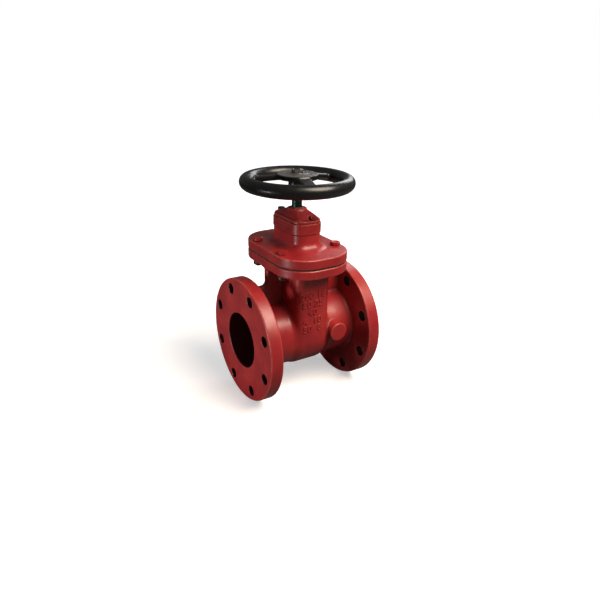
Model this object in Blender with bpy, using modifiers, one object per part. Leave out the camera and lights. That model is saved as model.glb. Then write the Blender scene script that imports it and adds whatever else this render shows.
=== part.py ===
"""Flanged gate valve, 4 inch: resilient wedge, non-rising stem, handwheel.

Metres, +Z up. The origin is where the pipe's axis (X) meets the stem's axis (Z).
The wedge is drawn fully open, lifted clear of the waterway.
"""

import math

import bmesh
import bpy
from mathutils import Vector

MM = 0.001

# Running and seating clearances
SEAT_GAP = 0.3 * MM
GUIDE_CLEARANCE = 0.4 * MM

# How deep a joined form starts inside its neighbour
SINK = 0.15 * MM

# How close points are that belong together
WELD = 0.003 * MM

# Pipe ends
FACE_TO_FACE = 228.6 * MM
BORE_RADIUS = 50.8 * MM
NECK_WALL = 10.2 * MM
FLANGE_RADIUS = 114.3 * MM
FLANGE_THICKNESS = 23.8 * MM
FLANGE_EDGE = 2.5 * MM
FLANGE_FILLET = 5.0 * MM
BOLT_CIRCLE_MARGIN = 19.05 * MM
FLANGE_HOLE_RADIUS = 9.525 * MM
FLANGE_HOLES = 8

# Blank boss on the side of the outlet neck
SIDE_BOSS_RADIUS = 17.5 * MM
SIDE_BOSS_X = 49.5 * MM
SIDE_BOSS_Z = 8.0 * MM
SIDE_BOSS_HEIGHT = 14.0 * MM
SIDE_BOSS_EDGE = 2.0 * MM

# Webs between the chamber and the end flanges, in the plane of pipe and stem
WEB_THICKNESS = 13.0 * MM
WEB_REACH = 63.0 * MM
WEB_STEP = 17.3 * MM
WEB_CORNER = 8.0 * MM

# Wedge, measured from the wedge's own centre
SIDE_OVERLAP = 3.7 * MM
SEAT_RECESS = 1.0 * MM
WEDGE_THICKNESS = 43.0 * MM
WEDGE_TAPER = math.radians(3.3)
RUBBER_THICKNESS = 3.0 * MM
FACE_RECESS_RADIUS = 38.0 * MM
FACE_RECESS_DEPTH = 1.2 * MM

# Guide lugs of the wedge and the shoes that cap them
LUG_HALF_WIDTH = 6.0 * MM
LUG_HALF_HEIGHT = 17.0 * MM
LUG_REACH = 2.0 * MM
SHOE_WALL = 1.6 * MM
SHOE_RIM = 2.4 * MM

# Stem nut and the pocket that carries it
NUT_HALF_WIDTH = 15.0 * MM
NUT_HEIGHT = 23.4 * MM
NUT_LIFT = 5.5 * MM
POCKET_CHEEK = 5.7 * MM
POCKET_HALF_DEPTH = 18.5 * MM
POCKET_BRIDGE = 6.0 * MM
POCKET_CORNER = 5.0 * MM

# Stem
THREAD_LEAD = 8.0 * MM
THREAD_RADIUS = 11.0 * MM
STEM_RADIUS = 9.0 * MM
STEM_FLOOR = 2.6 * MM
STEM_END_CLEARANCE = 1.5 * MM
COLLAR_RADIUS = 17.0 * MM
COLLAR_HEIGHT = 6.0 * MM
THRUST_WASHER = 1.4 * MM
WHEEL_SQUARE = 12.4 * MM
STEM_TIP_RADIUS = 6.0 * MM
STEM_TIP_SHOW = 1.0 * MM

# Body chamber
CAVITY_SIDE = 1.4 * MM
CHAMBER_WALL = 8.0 * MM
GUIDE_WALL = 7.2 * MM
CHAMBER_CORNER = 14.0 * MM
CHAMBER_DROP = 1.5 * MM
CHAMBER_FILLET = 7.0 * MM
GUIDE_MARGIN = 25.0 * MM

# Bolted joint between body and bonnet
BOLT_MARGIN = 13.5 * MM
JOINT_HALF_Y = 99.0 * MM
JOINT_CORNER = 54.0 * MM
BODY_PLATE = 16.0 * MM
BONNET_PLATE = 17.0 * MM
PLATE_EDGE = 2.5 * MM
JOINT_GAP = 2.0 * MM
GASKET_INSET = 1.2 * MM
BOLT_COVE_GAP = 3.6 * MM
BOLT_Y = 44.0 * MM
BOLT_RADIUS = 6.0 * MM
BOLT_HOLE_CLEARANCE = 0.6 * MM
BOLT_HEX_RADIUS = 9.4 * MM
BOLT_HEAD = 6.0 * MM
BOLT_NUT = 9.5 * MM
BOLT_TIP = 2.4 * MM

# Bonnet
LIFT_CLEARANCE = 3.0 * MM
NECK_HALF_X = 27.0 * MM
NECK_HALF_Y = 48.0 * MM
NECK_CORNER = 19.0 * MM
COVE_RADIUS = 14.0 * MM
RIM_PROUD = 1.2 * MM
RIM_HEIGHT = 18.0 * MM
RIM_EDGE = 2.0 * MM
JOINT_EDGE = 0.6 * MM
ROOF = 4.0 * MM
LOWER_CAVITY_HALF_Y = 46.0 * MM
LOWER_CAVITY_CORNER = 12.0 * MM
LOWER_CAVITY_HEIGHT = 12.0 * MM
UPPER_CAVITY_HALF_X = 20.7 * MM
UPPER_CAVITY_HALF_Y = 40.0 * MM

# Seal plate
PLATE_INSET = 0.6 * MM
SEAL_PLATE = 4.5 * MM
SEAL_JOINT_GAP = 0.4 * MM
SPIGOT_LENGTH = 2.0 * MM
SEAL_STEP = 1.8 * MM
SEAL_RING_WALL = 3.0 * MM
BOSS_RADIUS = 17.5 * MM
BOSS_HEIGHT = 14.1 * MM
RIDGE_STATIONS = (
    (45.0, 12.0, 6.0, 14.6),
    (30.0, 22.5, 12.0, 6.5),
    (13.0, 23.5, 13.5, 1.4),
)
SEAL_BOLT_X = 8.0 * MM
SEAL_BOLT_Y = 40.0 * MM
SEAL_BOLT_RADIUS = 4.0 * MM
SEAL_BOLT_HEX_RADIUS = 7.0 * MM
SEAL_BOLT_HEAD = 7.0 * MM
SPOTFACE_RADIUS = 8.4 * MM
SEAL_BOLT_REACH = 10.0 * MM
O_RING_SECTION = 1.4 * MM
O_RING_PITCH = 5.2 * MM
WIPER_WALL = 4.7 * MM
WIPER_DEPTH = 3.5 * MM
WIPER_LIP = 2.0 * MM

# Handwheel
STEM_SHOW = 30.0 * MM
WHEEL_RADIUS = 100.0 * MM
RIM_TUBE = 12.0 * MM
HUB_HEIGHT = 29.0 * MM
HUB_DISC_RADIUS = 36.0 * MM
HUB_DISC = 8.5 * MM
HUB_NECK_RADIUS = 15.5 * MM
HUB_FILLET = 7.0 * MM
WHEEL_DISH = 14.0 * MM
SPOKES = 3
FIRST_SPOKE = math.radians(18.0)
SPOKE_ROOT_WIDTH = 27.0 * MM
SPOKE_TIP_WIDTH = 21.0 * MM
SPOKE_DEPTH = 9.0 * MM
SPOKE_EDGE_SHARE = 0.42
WHEEL_NUT_HEX_RADIUS = 10.6 * MM
WHEEL_NUT = 5.5 * MM
WHEEL_WASHER_RADIUS = 12.5 * MM
WHEEL_WASHER = 1.2 * MM

# Facets
TURN_STEPS = 36
JOINT_STEPS = 9
SMALL_STEPS = 20
HOLE_STEPS = 12
ARC_STEPS = 3
NECK_STEPS = 5
BOSS_STEPS = 24
RIM_STEPS = 10
WHEEL_STEPS = 30
SPOKE_STEPS = 5

# Flange sizes that follow from its rim
BOLT_CIRCLE_RADIUS = FLANGE_RADIUS - BOLT_CIRCLE_MARGIN
WEB_SHELF = FLANGE_RADIUS - WEB_STEP

# Joint plates, sized round bolts that stand clear of the bonnet's cove
BOLT_X = NECK_HALF_X + COVE_RADIUS + BOLT_HEX_RADIUS + BOLT_COVE_GAP
JOINT_HALF_X = BOLT_X + BOLT_MARGIN

# Wedge sizes that follow from the bore
WEDGE_SIDE = BORE_RADIUS + SIDE_OVERLAP
SLOT_SIDE = WEDGE_SIDE + GUIDE_CLEARANCE
SLOT_DEPTH = BORE_RADIUS + SEAT_RECESS
WEDGE_DEPTH = SLOT_DEPTH - GUIDE_CLEARANCE
CORE_INSET = RUBBER_THICKNESS + SEAT_GAP
SHOE_HALF_WIDTH = LUG_HALF_WIDTH + SHOE_RIM
SHOE_HALF_HEIGHT = LUG_HALF_HEIGHT + SHOE_RIM
LUG_END = WEDGE_SIDE + LUG_REACH
SHOE_END = LUG_END + SEAT_GAP + SHOE_WALL
GUIDE_END = SHOE_END + GUIDE_CLEARANCE

# Travel: whole turns that lift the wedge's bottom clear of the bore
CLOSING_TURNS = math.ceil((BORE_RADIUS + WEDGE_DEPTH) / THREAD_LEAD)
TRAVEL = CLOSING_TURNS * THREAD_LEAD

# Heights in the wedge, from its centre
NUT_BOTTOM = WEDGE_SIDE + NUT_LIFT
NUT_TOP = NUT_BOTTOM + NUT_HEIGHT
POCKET_FLOOR = NUT_BOTTOM - SEAT_GAP
POCKET_ROOF = NUT_TOP + SEAT_GAP
POCKET_TOP = POCKET_ROOF + POCKET_BRIDGE

# Heights in the valve, from the pipe's axis
BODY_TOP = TRAVEL + SHOE_HALF_HEIGHT + GUIDE_MARGIN
BODY_PLATE_BOTTOM = BODY_TOP - BODY_PLATE
BONNET_BOTTOM = BODY_TOP + JOINT_GAP
BONNET_PLATE_TOP = BONNET_BOTTOM + BONNET_PLATE
CAVITY_TOP = TRAVEL + POCKET_TOP + LIFT_CLEARANCE
RECESS_FLOOR = CAVITY_TOP + ROOF
LOWER_WASHER_BOTTOM = RECESS_FLOOR + SEAT_GAP
COLLAR_BOTTOM = LOWER_WASHER_BOTTOM + THRUST_WASHER + SEAT_GAP
COLLAR_TOP = COLLAR_BOTTOM + COLLAR_HEIGHT
UPPER_WASHER_BOTTOM = COLLAR_TOP + SEAT_GAP
SPIGOT_BOTTOM = UPPER_WASHER_BOTTOM + THRUST_WASHER + SEAT_GAP
RIM_TOP = SPIGOT_BOTTOM + SPIGOT_LENGTH
RIM_BOTTOM = RIM_TOP - RIM_HEIGHT
PLATE_BOTTOM = RIM_TOP + SEAL_JOINT_GAP
PLATE_TOP = PLATE_BOTTOM + SEAL_PLATE
BOSS_TOP = PLATE_TOP + BOSS_HEIGHT
WIPER_FLOOR = BOSS_TOP - WIPER_DEPTH
HUB_BOTTOM = BOSS_TOP + STEM_SHOW
HUB_TOP = HUB_BOTTOM + HUB_HEIGHT
RIM_PLANE = HUB_TOP - WHEEL_DISH
WHEEL_WASHER_BOTTOM = HUB_TOP + SEAT_GAP
WHEEL_NUT_BOTTOM = WHEEL_WASHER_BOTTOM + WHEEL_WASHER + SEAT_GAP
STEM_TOP = WHEEL_NUT_BOTTOM + WHEEL_NUT + STEM_TIP_SHOW
STEM_BOTTOM = TRAVEL - WEDGE_DEPTH + CORE_INSET + STEM_FLOOR + STEM_END_CLEARANCE

# Widths that follow
NECK_RADIUS = BORE_RADIUS + NECK_WALL
RECESS_RADIUS = COLLAR_RADIUS + 5 * SEAT_GAP
WASHER_RADIUS = RECESS_RADIUS - SEAT_GAP
SPIGOT_RADIUS = RECESS_RADIUS - SEAT_GAP
STEM_HOLE = THREAD_RADIUS + SEAT_GAP
SHAFT_HOLE = STEM_RADIUS + SEAT_GAP
GROOVE_RADIUS = STEM_RADIUS + 2 * SEAT_GAP + 2 * O_RING_SECTION
WIPER_RADIUS = SHAFT_HOLE + WIPER_WALL
BOLT_HOLE = BOLT_RADIUS + BOLT_HOLE_CLEARANCE
SEAL_BOLT_HOLE = SEAL_BOLT_RADIUS + BOLT_HOLE_CLEARANCE
POCKET_HALF_WIDTH = NUT_HALF_WIDTH + SEAT_GAP + POCKET_CHEEK


def wedge_half_thickness(height):
    """Half the wedge's thickness at a height above its centre: it narrows downward."""
    return WEDGE_THICKNESS / 2 + height * math.tan(WEDGE_TAPER)


CAVITY_HALF_X = wedge_half_thickness(WEDGE_SIDE) + CAVITY_SIDE
CHAMBER_HALF_X = CAVITY_HALF_X + CHAMBER_WALL
CHAMBER_HALF_Y = GUIDE_END + GUIDE_WALL
CHAMBER_DEPTH = NECK_RADIUS + CHAMBER_DROP


def clear_scene():
    for item in list(bpy.data.objects):
        bpy.data.objects.remove(item, do_unlink=True)


def new_collection(name):
    collection = bpy.data.collections.new(name)
    bpy.context.scene.collection.children.link(collection)
    return collection


def new_material(name, colour, roughness, metallic=0.0):
    material = bpy.data.materials.new(name)
    material.use_nodes = True
    shader = material.node_tree.nodes["Principled BSDF"]
    shader.inputs["Base Color"].default_value = (*colour, 1.0)
    shader.inputs["Roughness"].default_value = roughness
    shader.inputs["Metallic"].default_value = metallic
    material.diffuse_color = (*colour, 1.0)
    return material


clear_scene()
PARTS = new_collection("flanged_gate_valve")
CUTTERS = new_collection("cutters")
RED_PAINT = new_material("red_enamel", (0.36, 0.035, 0.028), 0.32)
BLACK_PAINT = new_material("black_enamel", (0.012, 0.013, 0.014), 0.25)
BOLT_STEEL = new_material("dark_steel", (0.05, 0.045, 0.04), 0.45, 0.8)
PAINTED_BOLT = new_material("painted_bolt", (0.30, 0.035, 0.03), 0.4)
STEM_STEEL = new_material("stem_steel", (0.03, 0.05, 0.045), 0.3, 0.7)
BRONZE = new_material("bronze", (0.45, 0.27, 0.10), 0.35, 1.0)
RUBBER = new_material("black_rubber", (0.02, 0.02, 0.02), 0.7)
CAST_IRON = new_material("cast_iron", (0.10, 0.10, 0.10), 0.6, 0.5)
NYLON = new_material("nylon", (0.75, 0.73, 0.66), 0.45)


def arc(centre, radius, start, end, steps=ARC_STEPS):
    """Points along an arc, in degrees, both ends included."""
    points = []
    for i in range(steps + 1):
        angle = math.radians(start + (end - start) * i / steps)
        x = centre[0] + radius * math.cos(angle)
        y = centre[1] + radius * math.sin(angle)
        points.append((x, y))
    return points


def rounded_rectangle(half_x, half_y, radius, steps=ARC_STEPS):
    x = half_x - radius
    y = half_y - radius
    corners = ((x, y, 0), (-x, y, 90), (-x, -y, 180), (x, -y, 270))
    points = []
    for centre_x, centre_y, start in corners:
        points += arc((centre_x, centre_y), radius, start, start + 90, steps)
    return points


def joint_outline(inset=0.0):
    """The joint plates' outline from above, drawn in by the inset."""
    return rounded_rectangle(
        JOINT_HALF_X - inset, JOINT_HALF_Y - inset, JOINT_CORNER - inset, JOINT_STEPS
    )


def disc_outline(side, depth, rise, steps=TURN_STEPS):
    """A disc seen along the pipe: half ellipses of its own depth and rise."""
    points = []
    for i in range(steps):
        angle = 2 * math.pi * i / steps
        reach = rise if math.sin(angle) > 0 else depth
        points.append((side * math.cos(angle), reach * math.sin(angle)))
    return points


def u_outline(side, depth, top, steps=TURN_STEPS // 2):
    """Straight sides down to the pipe's axis, closed below by half an ellipse."""
    points = [(-side, top)]
    for i in range(steps + 1):
        angle = math.pi + math.pi * i / steps
        points.append((side * math.cos(angle), depth * math.sin(angle)))
    points.append((side, top))
    return points


def add_mesh(name, mesh, collection, material=None):
    item = bpy.data.objects.new(name, mesh)
    collection.objects.link(item)
    if material:
        mesh.materials.append(material)
    if collection is CUTTERS:
        item.hide_render = True
        item.display_type = "WIRE"
    return item


def finish_bmesh(name, bm, collection, material=None):
    mesh = bpy.data.meshes.new(name)
    bmesh.ops.recalc_face_normals(bm, faces=bm.faces)
    bm.to_mesh(mesh)
    bm.free()
    return add_mesh(name, mesh, collection, material)


def cylinder(name, radius, start, end, collection, material=None, steps=SMALL_STEPS):
    """An upright cylinder between two heights; six steps make a hexagon."""
    bm = bmesh.new()
    bmesh.ops.create_cone(
        bm, cap_ends=True, segments=steps, radius1=radius, radius2=radius, depth=end - start
    )
    bmesh.ops.translate(bm, verts=bm.verts, vec=(0.0, 0.0, (start + end) / 2))
    return finish_bmesh(name, bm, collection, material)


def block(name, low, high, collection, material=None):
    """A box between two opposite corners."""
    low = Vector(low)
    high = Vector(high)
    bm = bmesh.new()
    bmesh.ops.create_cube(bm, size=1.0)
    bmesh.ops.scale(bm, verts=bm.verts, vec=high - low)
    bmesh.ops.translate(bm, verts=bm.verts, vec=(low + high) / 2)
    return finish_bmesh(name, bm, collection, material)


def turned(name, profile, collection, material=None, steps=SMALL_STEPS, closed=False):
    """A profile of (radius, height) points, from the top down, turned about Z."""
    bm = bmesh.new()
    rim = [bm.verts.new((radius, 0.0, height)) for radius, height in profile]
    for first, second in zip(rim, rim[1:]):
        bm.edges.new((first, second))
    if closed:
        bm.edges.new((rim[-1], rim[0]))
    mesh = bpy.data.meshes.new(name)
    bm.to_mesh(mesh)
    bm.free()
    item = add_mesh(name, mesh, collection, material)
    screw = item.modifiers.new("turn", "SCREW")
    screw.steps = steps
    screw.render_steps = steps
    screw.use_merge_vertices = True
    screw.merge_threshold = WELD
    screw.use_smooth_shade = True
    return item


def plate(name, outline, bottom, top, collection, material=None, along="Z"):
    """A flat outline filled between two heights, or across the pipe along X."""
    curve = bpy.data.curves.new(name, "CURVE")
    curve.dimensions = "2D"
    curve.fill_mode = "BOTH"
    curve.extrude = (top - bottom) / 2
    spline = curve.splines.new("POLY")
    spline.points.add(len(outline) - 1)
    for point, (x, y) in zip(spline.points, outline):
        point.co = (x, y, 0.0, 1.0)
    spline.use_cyclic_u = True
    drawn = bpy.data.objects.new(name + "_outline", curve)
    CUTTERS.objects.link(drawn)
    drawn.location.z = (top + bottom) / 2
    if along == "X":
        drawn.location = ((top + bottom) / 2, 0.0, 0.0)
        drawn.rotation_euler = (math.pi / 2, 0.0, math.pi / 2)
    bpy.context.view_layer.update()
    mesh = bpy.data.meshes.new_from_object(
        drawn.evaluated_get(bpy.context.evaluated_depsgraph_get())
    )
    mesh.name = name
    mesh.transform(drawn.matrix_world)
    bpy.data.objects.remove(drawn, do_unlink=True)
    bm = bmesh.new()
    bm.from_mesh(mesh)
    bpy.data.meshes.remove(mesh)
    bmesh.ops.remove_doubles(bm, verts=bm.verts, dist=WELD)
    bmesh.ops.dissolve_limit(bm, angle_limit=math.radians(0.05), verts=bm.verts, edges=bm.edges)
    return finish_bmesh(name, bm, collection, material)


def loft(name, sections, collection, material=None):
    """Closed sections with as many points each, skinned in order and capped."""
    bm = bmesh.new()
    rings = [[bm.verts.new(point) for point in section] for section in sections]
    count = len(rings[0])
    for lower, upper in zip(rings, rings[1:]):
        for i in range(count):
            j = (i + 1) % count
            bm.faces.new((lower[i], lower[j], upper[j], upper[i]))
    bm.faces.new(rings[0][::-1])
    bm.faces.new(rings[-1])
    return finish_bmesh(name, bm, collection, material)


def at_height(outline, height):
    return [(x, y, height) for x, y in outline]


def bevel(item, width, segments=2):
    modifier = item.modifiers.new("edge", "BEVEL")
    modifier.width = width
    modifier.segments = segments
    modifier.limit_method = "ANGLE"
    modifier.angle_limit = math.radians(40)


def combine(item, tool, operation):
    """A Boolean, then a weld of the hairline edges it can leave where forms graze."""
    modifier = item.modifiers.new(tool.name, "BOOLEAN")
    modifier.operation = operation
    modifier.object = tool
    modifier.solver = "EXACT"
    weld = item.modifiers.new("weld_" + tool.name, "WELD")
    weld.merge_threshold = WELD


def add(item, tool):
    combine(item, tool, "UNION")


def cut(item, tool):
    combine(item, tool, "DIFFERENCE")


def joined(name, tools, collection=None):
    """Separate tools in one mesh, so that one Boolean makes a whole pattern."""
    bm = bmesh.new()
    for tool in tools:
        mesh = tool.data.copy()
        mesh.transform(tool.matrix_basis)
        bm.from_mesh(mesh)
        bpy.data.meshes.remove(mesh)
        bpy.data.objects.remove(tool, do_unlink=True)
    return finish_bmesh(name, bm, collection or CUTTERS)


def shade(item):
    item.data.shade_smooth()
    item.data.set_sharp_from_angle(angle=math.radians(32))


def run_profile():
    """The pipe run's outer profile, face to face: (radius, distance from the middle)."""
    face = FACE_TO_FACE / 2
    back = face - FLANGE_THICKNESS
    edge = FLANGE_RADIUS - FLANGE_EDGE
    flange_fillet = (NECK_RADIUS + FLANGE_FILLET, back - FLANGE_FILLET)
    chamber_fillet = (NECK_RADIUS + CHAMBER_FILLET, CHAMBER_HALF_X + CHAMBER_FILLET - SINK)
    half = [(0.0, face)]
    half += arc((edge, face - FLANGE_EDGE), FLANGE_EDGE, 90, 0, 2)
    half += arc((edge, back + FLANGE_EDGE), FLANGE_EDGE, 0, -90, 1)
    half += arc(flange_fillet, FLANGE_FILLET, 90, 180, 4)
    half += arc(chamber_fillet, CHAMBER_FILLET, 180, 270)
    return half + [(radius, -x) for radius, x in reversed(half)]


def fillet_trim():
    """What the chamber's fillets would stand proud of its sides and bottom."""
    reach = CHAMBER_HALF_X + CHAMBER_FILLET
    wide = FLANGE_RADIUS
    low = (-reach, -wide, -wide)
    trim = block("fillet_trim", low, (reach, wide, NECK_RADIUS), CUTTERS)
    outline = u_outline(CHAMBER_HALF_Y - CHAMBER_FILLET / 2, CHAMBER_DEPTH - SINK, wide)
    cut(trim, plate("fillet_envelope", outline, -2 * reach, 2 * reach, CUTTERS, along="X"))
    return trim


def bolt_positions():
    signs = ((-1, -1), (1, -1), (1, 1), (-1, 1))
    return [(BOLT_X * x, BOLT_Y * y) for x, y in signs]


def bolt_hole_tools(name, bottom, top):
    tools = []
    for x, y in bolt_positions():
        tool = cylinder("bolt_hole", BOLT_HOLE, bottom, top, CUTTERS, steps=HOLE_STEPS)
        tool.location = (x, y, 0.0)
        tools.append(tool)
    return joined(name, tools)


def flange_hole_tools():
    reach = FLANGE_THICKNESS
    tools = []
    for side in (-1, 1):
        for i in range(FLANGE_HOLES):
            angle = 2 * math.pi * (i + 0.5) / FLANGE_HOLES
            tool = cylinder(
                "flange_hole", FLANGE_HOLE_RADIUS, -reach, reach, CUTTERS, steps=HOLE_STEPS
            )
            tool.rotation_euler.y = math.pi / 2
            tool.location = (
                side * (FACE_TO_FACE - FLANGE_THICKNESS) / 2,
                BOLT_CIRCLE_RADIUS * math.cos(angle),
                BOLT_CIRCLE_RADIUS * math.sin(angle),
            )
            tools.append(tool)
    return joined("flange_holes", tools)


def taper(item, half_thickness):
    """Scale an X-wide solid so that its half width follows the wedge's taper."""
    for vertex in item.data.vertices:
        side = math.copysign(1.0, vertex.co.x)
        vertex.co.x = side * half_thickness(vertex.co.z)


def make_webs():
    """The web on each side: down from the joint plate, then out to the end flange."""
    top = BODY_PLATE_BOTTOM + PLATE_EDGE
    flange = FACE_TO_FACE / 2 - FLANGE_THICKNESS / 2
    corner = (WEB_REACH + WEB_CORNER, WEB_SHELF + WEB_CORNER)
    root = NECK_RADIUS - NECK_WALL / 2
    outline = [(CHAMBER_HALF_X - NECK_WALL / 2, top), (WEB_REACH, top)]
    outline += arc(corner, WEB_CORNER, 180, 270)
    outline += [(flange, WEB_SHELF), (flange, root), (CHAMBER_HALF_X - NECK_WALL / 2, root)]
    webs = []
    for side in (-1, 1):
        points = [(side * x, z) for x, z in outline]
        web = loft(
            "web",
            [
                [(x, -WEB_THICKNESS / 2, z) for x, z in points],
                [(x, WEB_THICKNESS / 2, z) for x, z in points],
            ],
            CUTTERS,
        )
        webs.append(web)
    return joined("webs", webs)


def make_body():
    body = turned("body", run_profile(), PARTS, RED_PAINT, TURN_STEPS)
    body.rotation_euler.y = math.pi / 2
    cut(body, fillet_trim())

    above = BODY_TOP + 2 * CHAMBER_CORNER
    outline = u_outline(CHAMBER_HALF_Y, CHAMBER_DEPTH, above)
    chamber = plate(
        "chamber", outline, -CHAMBER_HALF_X, CHAMBER_HALF_X, CUTTERS, along="X"
    )
    bevel(chamber, CHAMBER_CORNER, ARC_STEPS)
    add(body, chamber)

    collar = []
    for radius, height in arc((0.0, 0.0), CHAMBER_FILLET, 0, 90):
        grow = CHAMBER_FILLET - radius - SINK
        outline = rounded_rectangle(
            CHAMBER_HALF_X + grow, CHAMBER_HALF_Y + grow, CHAMBER_CORNER + grow
        )
        collar.append(at_height(outline, BODY_PLATE_BOTTOM - CHAMBER_FILLET + height))
    collar.append(at_height(outline, BODY_PLATE_BOTTOM + PLATE_EDGE))
    add(body, loft("chamber_collar", collar, CUTTERS))

    outline = joint_outline()
    joint_plate = plate("joint_plate", outline, BODY_PLATE_BOTTOM, BODY_TOP, CUTTERS)
    bevel(joint_plate, PLATE_EDGE)
    add(body, joint_plate)
    webs = make_webs()
    bevel(webs, WEB_THICKNESS / 4, 2)
    add(body, webs)

    outer = SIDE_BOSS_HEIGHT + NECK_RADIUS
    edge = SIDE_BOSS_RADIUS - SIDE_BOSS_EDGE
    boss_profile = [(0.0, outer)]
    boss_profile += arc((edge, outer - SIDE_BOSS_EDGE), SIDE_BOSS_EDGE, 90, 0, 2)
    boss_profile += [(SIDE_BOSS_RADIUS, BORE_RADIUS + NECK_WALL / 2)]
    boss_profile += [(0.0, BORE_RADIUS + NECK_WALL / 2)]
    boss = turned("side_boss", boss_profile, CUTTERS)
    boss.rotation_euler.x = math.pi / 2
    boss.location = (SIDE_BOSS_X, 0.0, SIDE_BOSS_Z)
    add(body, boss)

    reach = FACE_TO_FACE
    mill = block("joint_face", (-reach, -reach, BODY_TOP), (reach, reach, above + reach), CUTTERS)
    cut(body, mill)

    bore = cylinder("bore", BORE_RADIUS, -reach, reach, CUTTERS, steps=TURN_STEPS)
    bore.rotation_euler.y = math.pi / 2
    cut(body, bore)

    slot = plate(
        "wedge_slot",
        u_outline(SLOT_SIDE, SLOT_DEPTH, WEDGE_SIDE),
        -CAVITY_HALF_X,
        CAVITY_HALF_X,
        CUTTERS,
        along="X",
    )
    taper(slot, lambda height: wedge_half_thickness(height) + GUIDE_CLEARANCE)
    cut(body, slot)
    cavity = rounded_rectangle(CAVITY_HALF_X, SLOT_SIDE, GUIDE_WALL / 2)
    cut(body, plate("chamber_cavity", cavity, WEDGE_SIDE - SEAT_GAP, above, CUTTERS))
    groove_half = SHOE_HALF_WIDTH + GUIDE_CLEARANCE
    groove_bottom = -SHOE_HALF_HEIGHT - GUIDE_CLEARANCE
    groove = block(
        "guide_grooves",
        (-groove_half, -GUIDE_END, groove_bottom),
        (groove_half, GUIDE_END, above),
        CUTTERS,
    )
    cut(body, groove)
    cut(body, flange_hole_tools())
    cut(body, bolt_hole_tools("body_bolt_holes", BODY_PLATE_BOTTOM - BOLT_NUT, above))
    shade(body)
    return body


def neck_plan(grow, steps=NECK_STEPS):
    """The plan of the bonnet's neck, rim and seal plate, grown all round by an amount."""
    return rounded_rectangle(
        NECK_HALF_X + grow, NECK_HALF_Y + grow, NECK_CORNER + grow, steps
    )


def neck_form(name, grow_and_heights, collection, material=None):
    """The bonnet's neck: its plan grows by the given amounts at the given heights."""
    sections = [at_height(neck_plan(grow), height) for grow, height in grow_and_heights]
    return loft(name, sections, collection, material)


def make_bonnet():
    outline = joint_outline()
    bonnet = plate("bonnet", outline, BONNET_BOTTOM, BONNET_PLATE_TOP, PARTS, RED_PAINT)
    bevel(bonnet, PLATE_EDGE)

    cove = arc((COVE_RADIUS, COVE_RADIUS), COVE_RADIUS, 270, 180, 4)
    profile = [(COVE_RADIUS, -BONNET_PLATE / 2)]
    profile += cove
    profile = [(grow, BONNET_PLATE_TOP + height) for grow, height in profile]
    profile += [(0.0, RIM_BOTTOM - RIM_PROUD)]
    profile += [(RIM_PROUD, RIM_BOTTOM)]
    profile += [(RIM_PROUD, RIM_TOP - JOINT_EDGE)]
    profile += [(RIM_PROUD - JOINT_EDGE, RIM_TOP)]
    add(bonnet, neck_form("bonnet_neck", profile, CUTTERS))

    lower = rounded_rectangle(CAVITY_HALF_X, LOWER_CAVITY_HALF_Y, LOWER_CAVITY_CORNER)
    lower_top = BONNET_BOTTOM + LOWER_CAVITY_HEIGHT
    cut(bonnet, plate("lower_cavity", lower, BODY_TOP, lower_top, CUTTERS))
    upper = rounded_rectangle(UPPER_CAVITY_HALF_X, UPPER_CAVITY_HALF_Y, LOWER_CAVITY_CORNER)
    cut(bonnet, plate("upper_cavity", upper, BONNET_BOTTOM, CAVITY_TOP, CUTTERS))
    cut(bonnet, cylinder("stem_hole", STEM_HOLE, BODY_TOP, RIM_TOP, CUTTERS))
    recess = cylinder("collar_recess", RECESS_RADIUS, RECESS_FLOOR, PLATE_TOP, CUTTERS)
    cut(bonnet, recess)
    step = SPIGOT_RADIUS + SEAL_RING_WALL + 2 * SEAT_GAP
    cut(bonnet, cylinder("ring_step", step, RIM_TOP - SEAL_STEP, PLATE_TOP, CUTTERS))
    tapped = RIM_TOP - SEAL_BOLT_REACH - 2 * SEAT_GAP
    cut(bonnet, seal_bolt_hole_tools("bonnet_tapped_holes", SEAL_BOLT_HOLE, tapped))
    cut(bonnet, bolt_hole_tools("bonnet_bolt_holes", BODY_TOP, RIM_BOTTOM))
    shade(bonnet)
    return bonnet


def make_bonnet_gasket():
    outline = joint_outline(GASKET_INSET)
    bottom = BODY_TOP + SEAT_GAP
    top = BONNET_BOTTOM - SEAT_GAP
    gasket = plate("bonnet_gasket", outline, bottom, top, PARTS, RUBBER)
    opening = rounded_rectangle(CAVITY_HALF_X, GUIDE_END, GUIDE_WALL / 2)
    cut(gasket, plate("gasket_opening", opening, BODY_PLATE_BOTTOM, RIM_BOTTOM, CUTTERS))
    cut(gasket, bolt_hole_tools("gasket_bolt_holes", BODY_PLATE_BOTTOM, RIM_BOTTOM))
    return gasket


def seal_bolt_positions():
    """The seal plate's bolts stand on a diagonal, one near each end."""
    return [(SEAL_BOLT_X, -SEAL_BOLT_Y), (-SEAL_BOLT_X, SEAL_BOLT_Y)]


def seal_bolt_hole_tools(name, radius, bottom):
    tools = []
    for x, y in seal_bolt_positions():
        tool = cylinder(
            "seal_bolt_hole", radius, bottom, BOSS_TOP + BOSS_HEIGHT, CUTTERS, steps=HOLE_STEPS
        )
        tool.location = (x, y, 0.0)
        tools.append(tool)
    return joined(name, tools)


def o_ring_heights():
    first = PLATE_BOTTOM + SEAT_GAP + 2 * O_RING_SECTION
    return [first, first + O_RING_PITCH]


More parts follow.
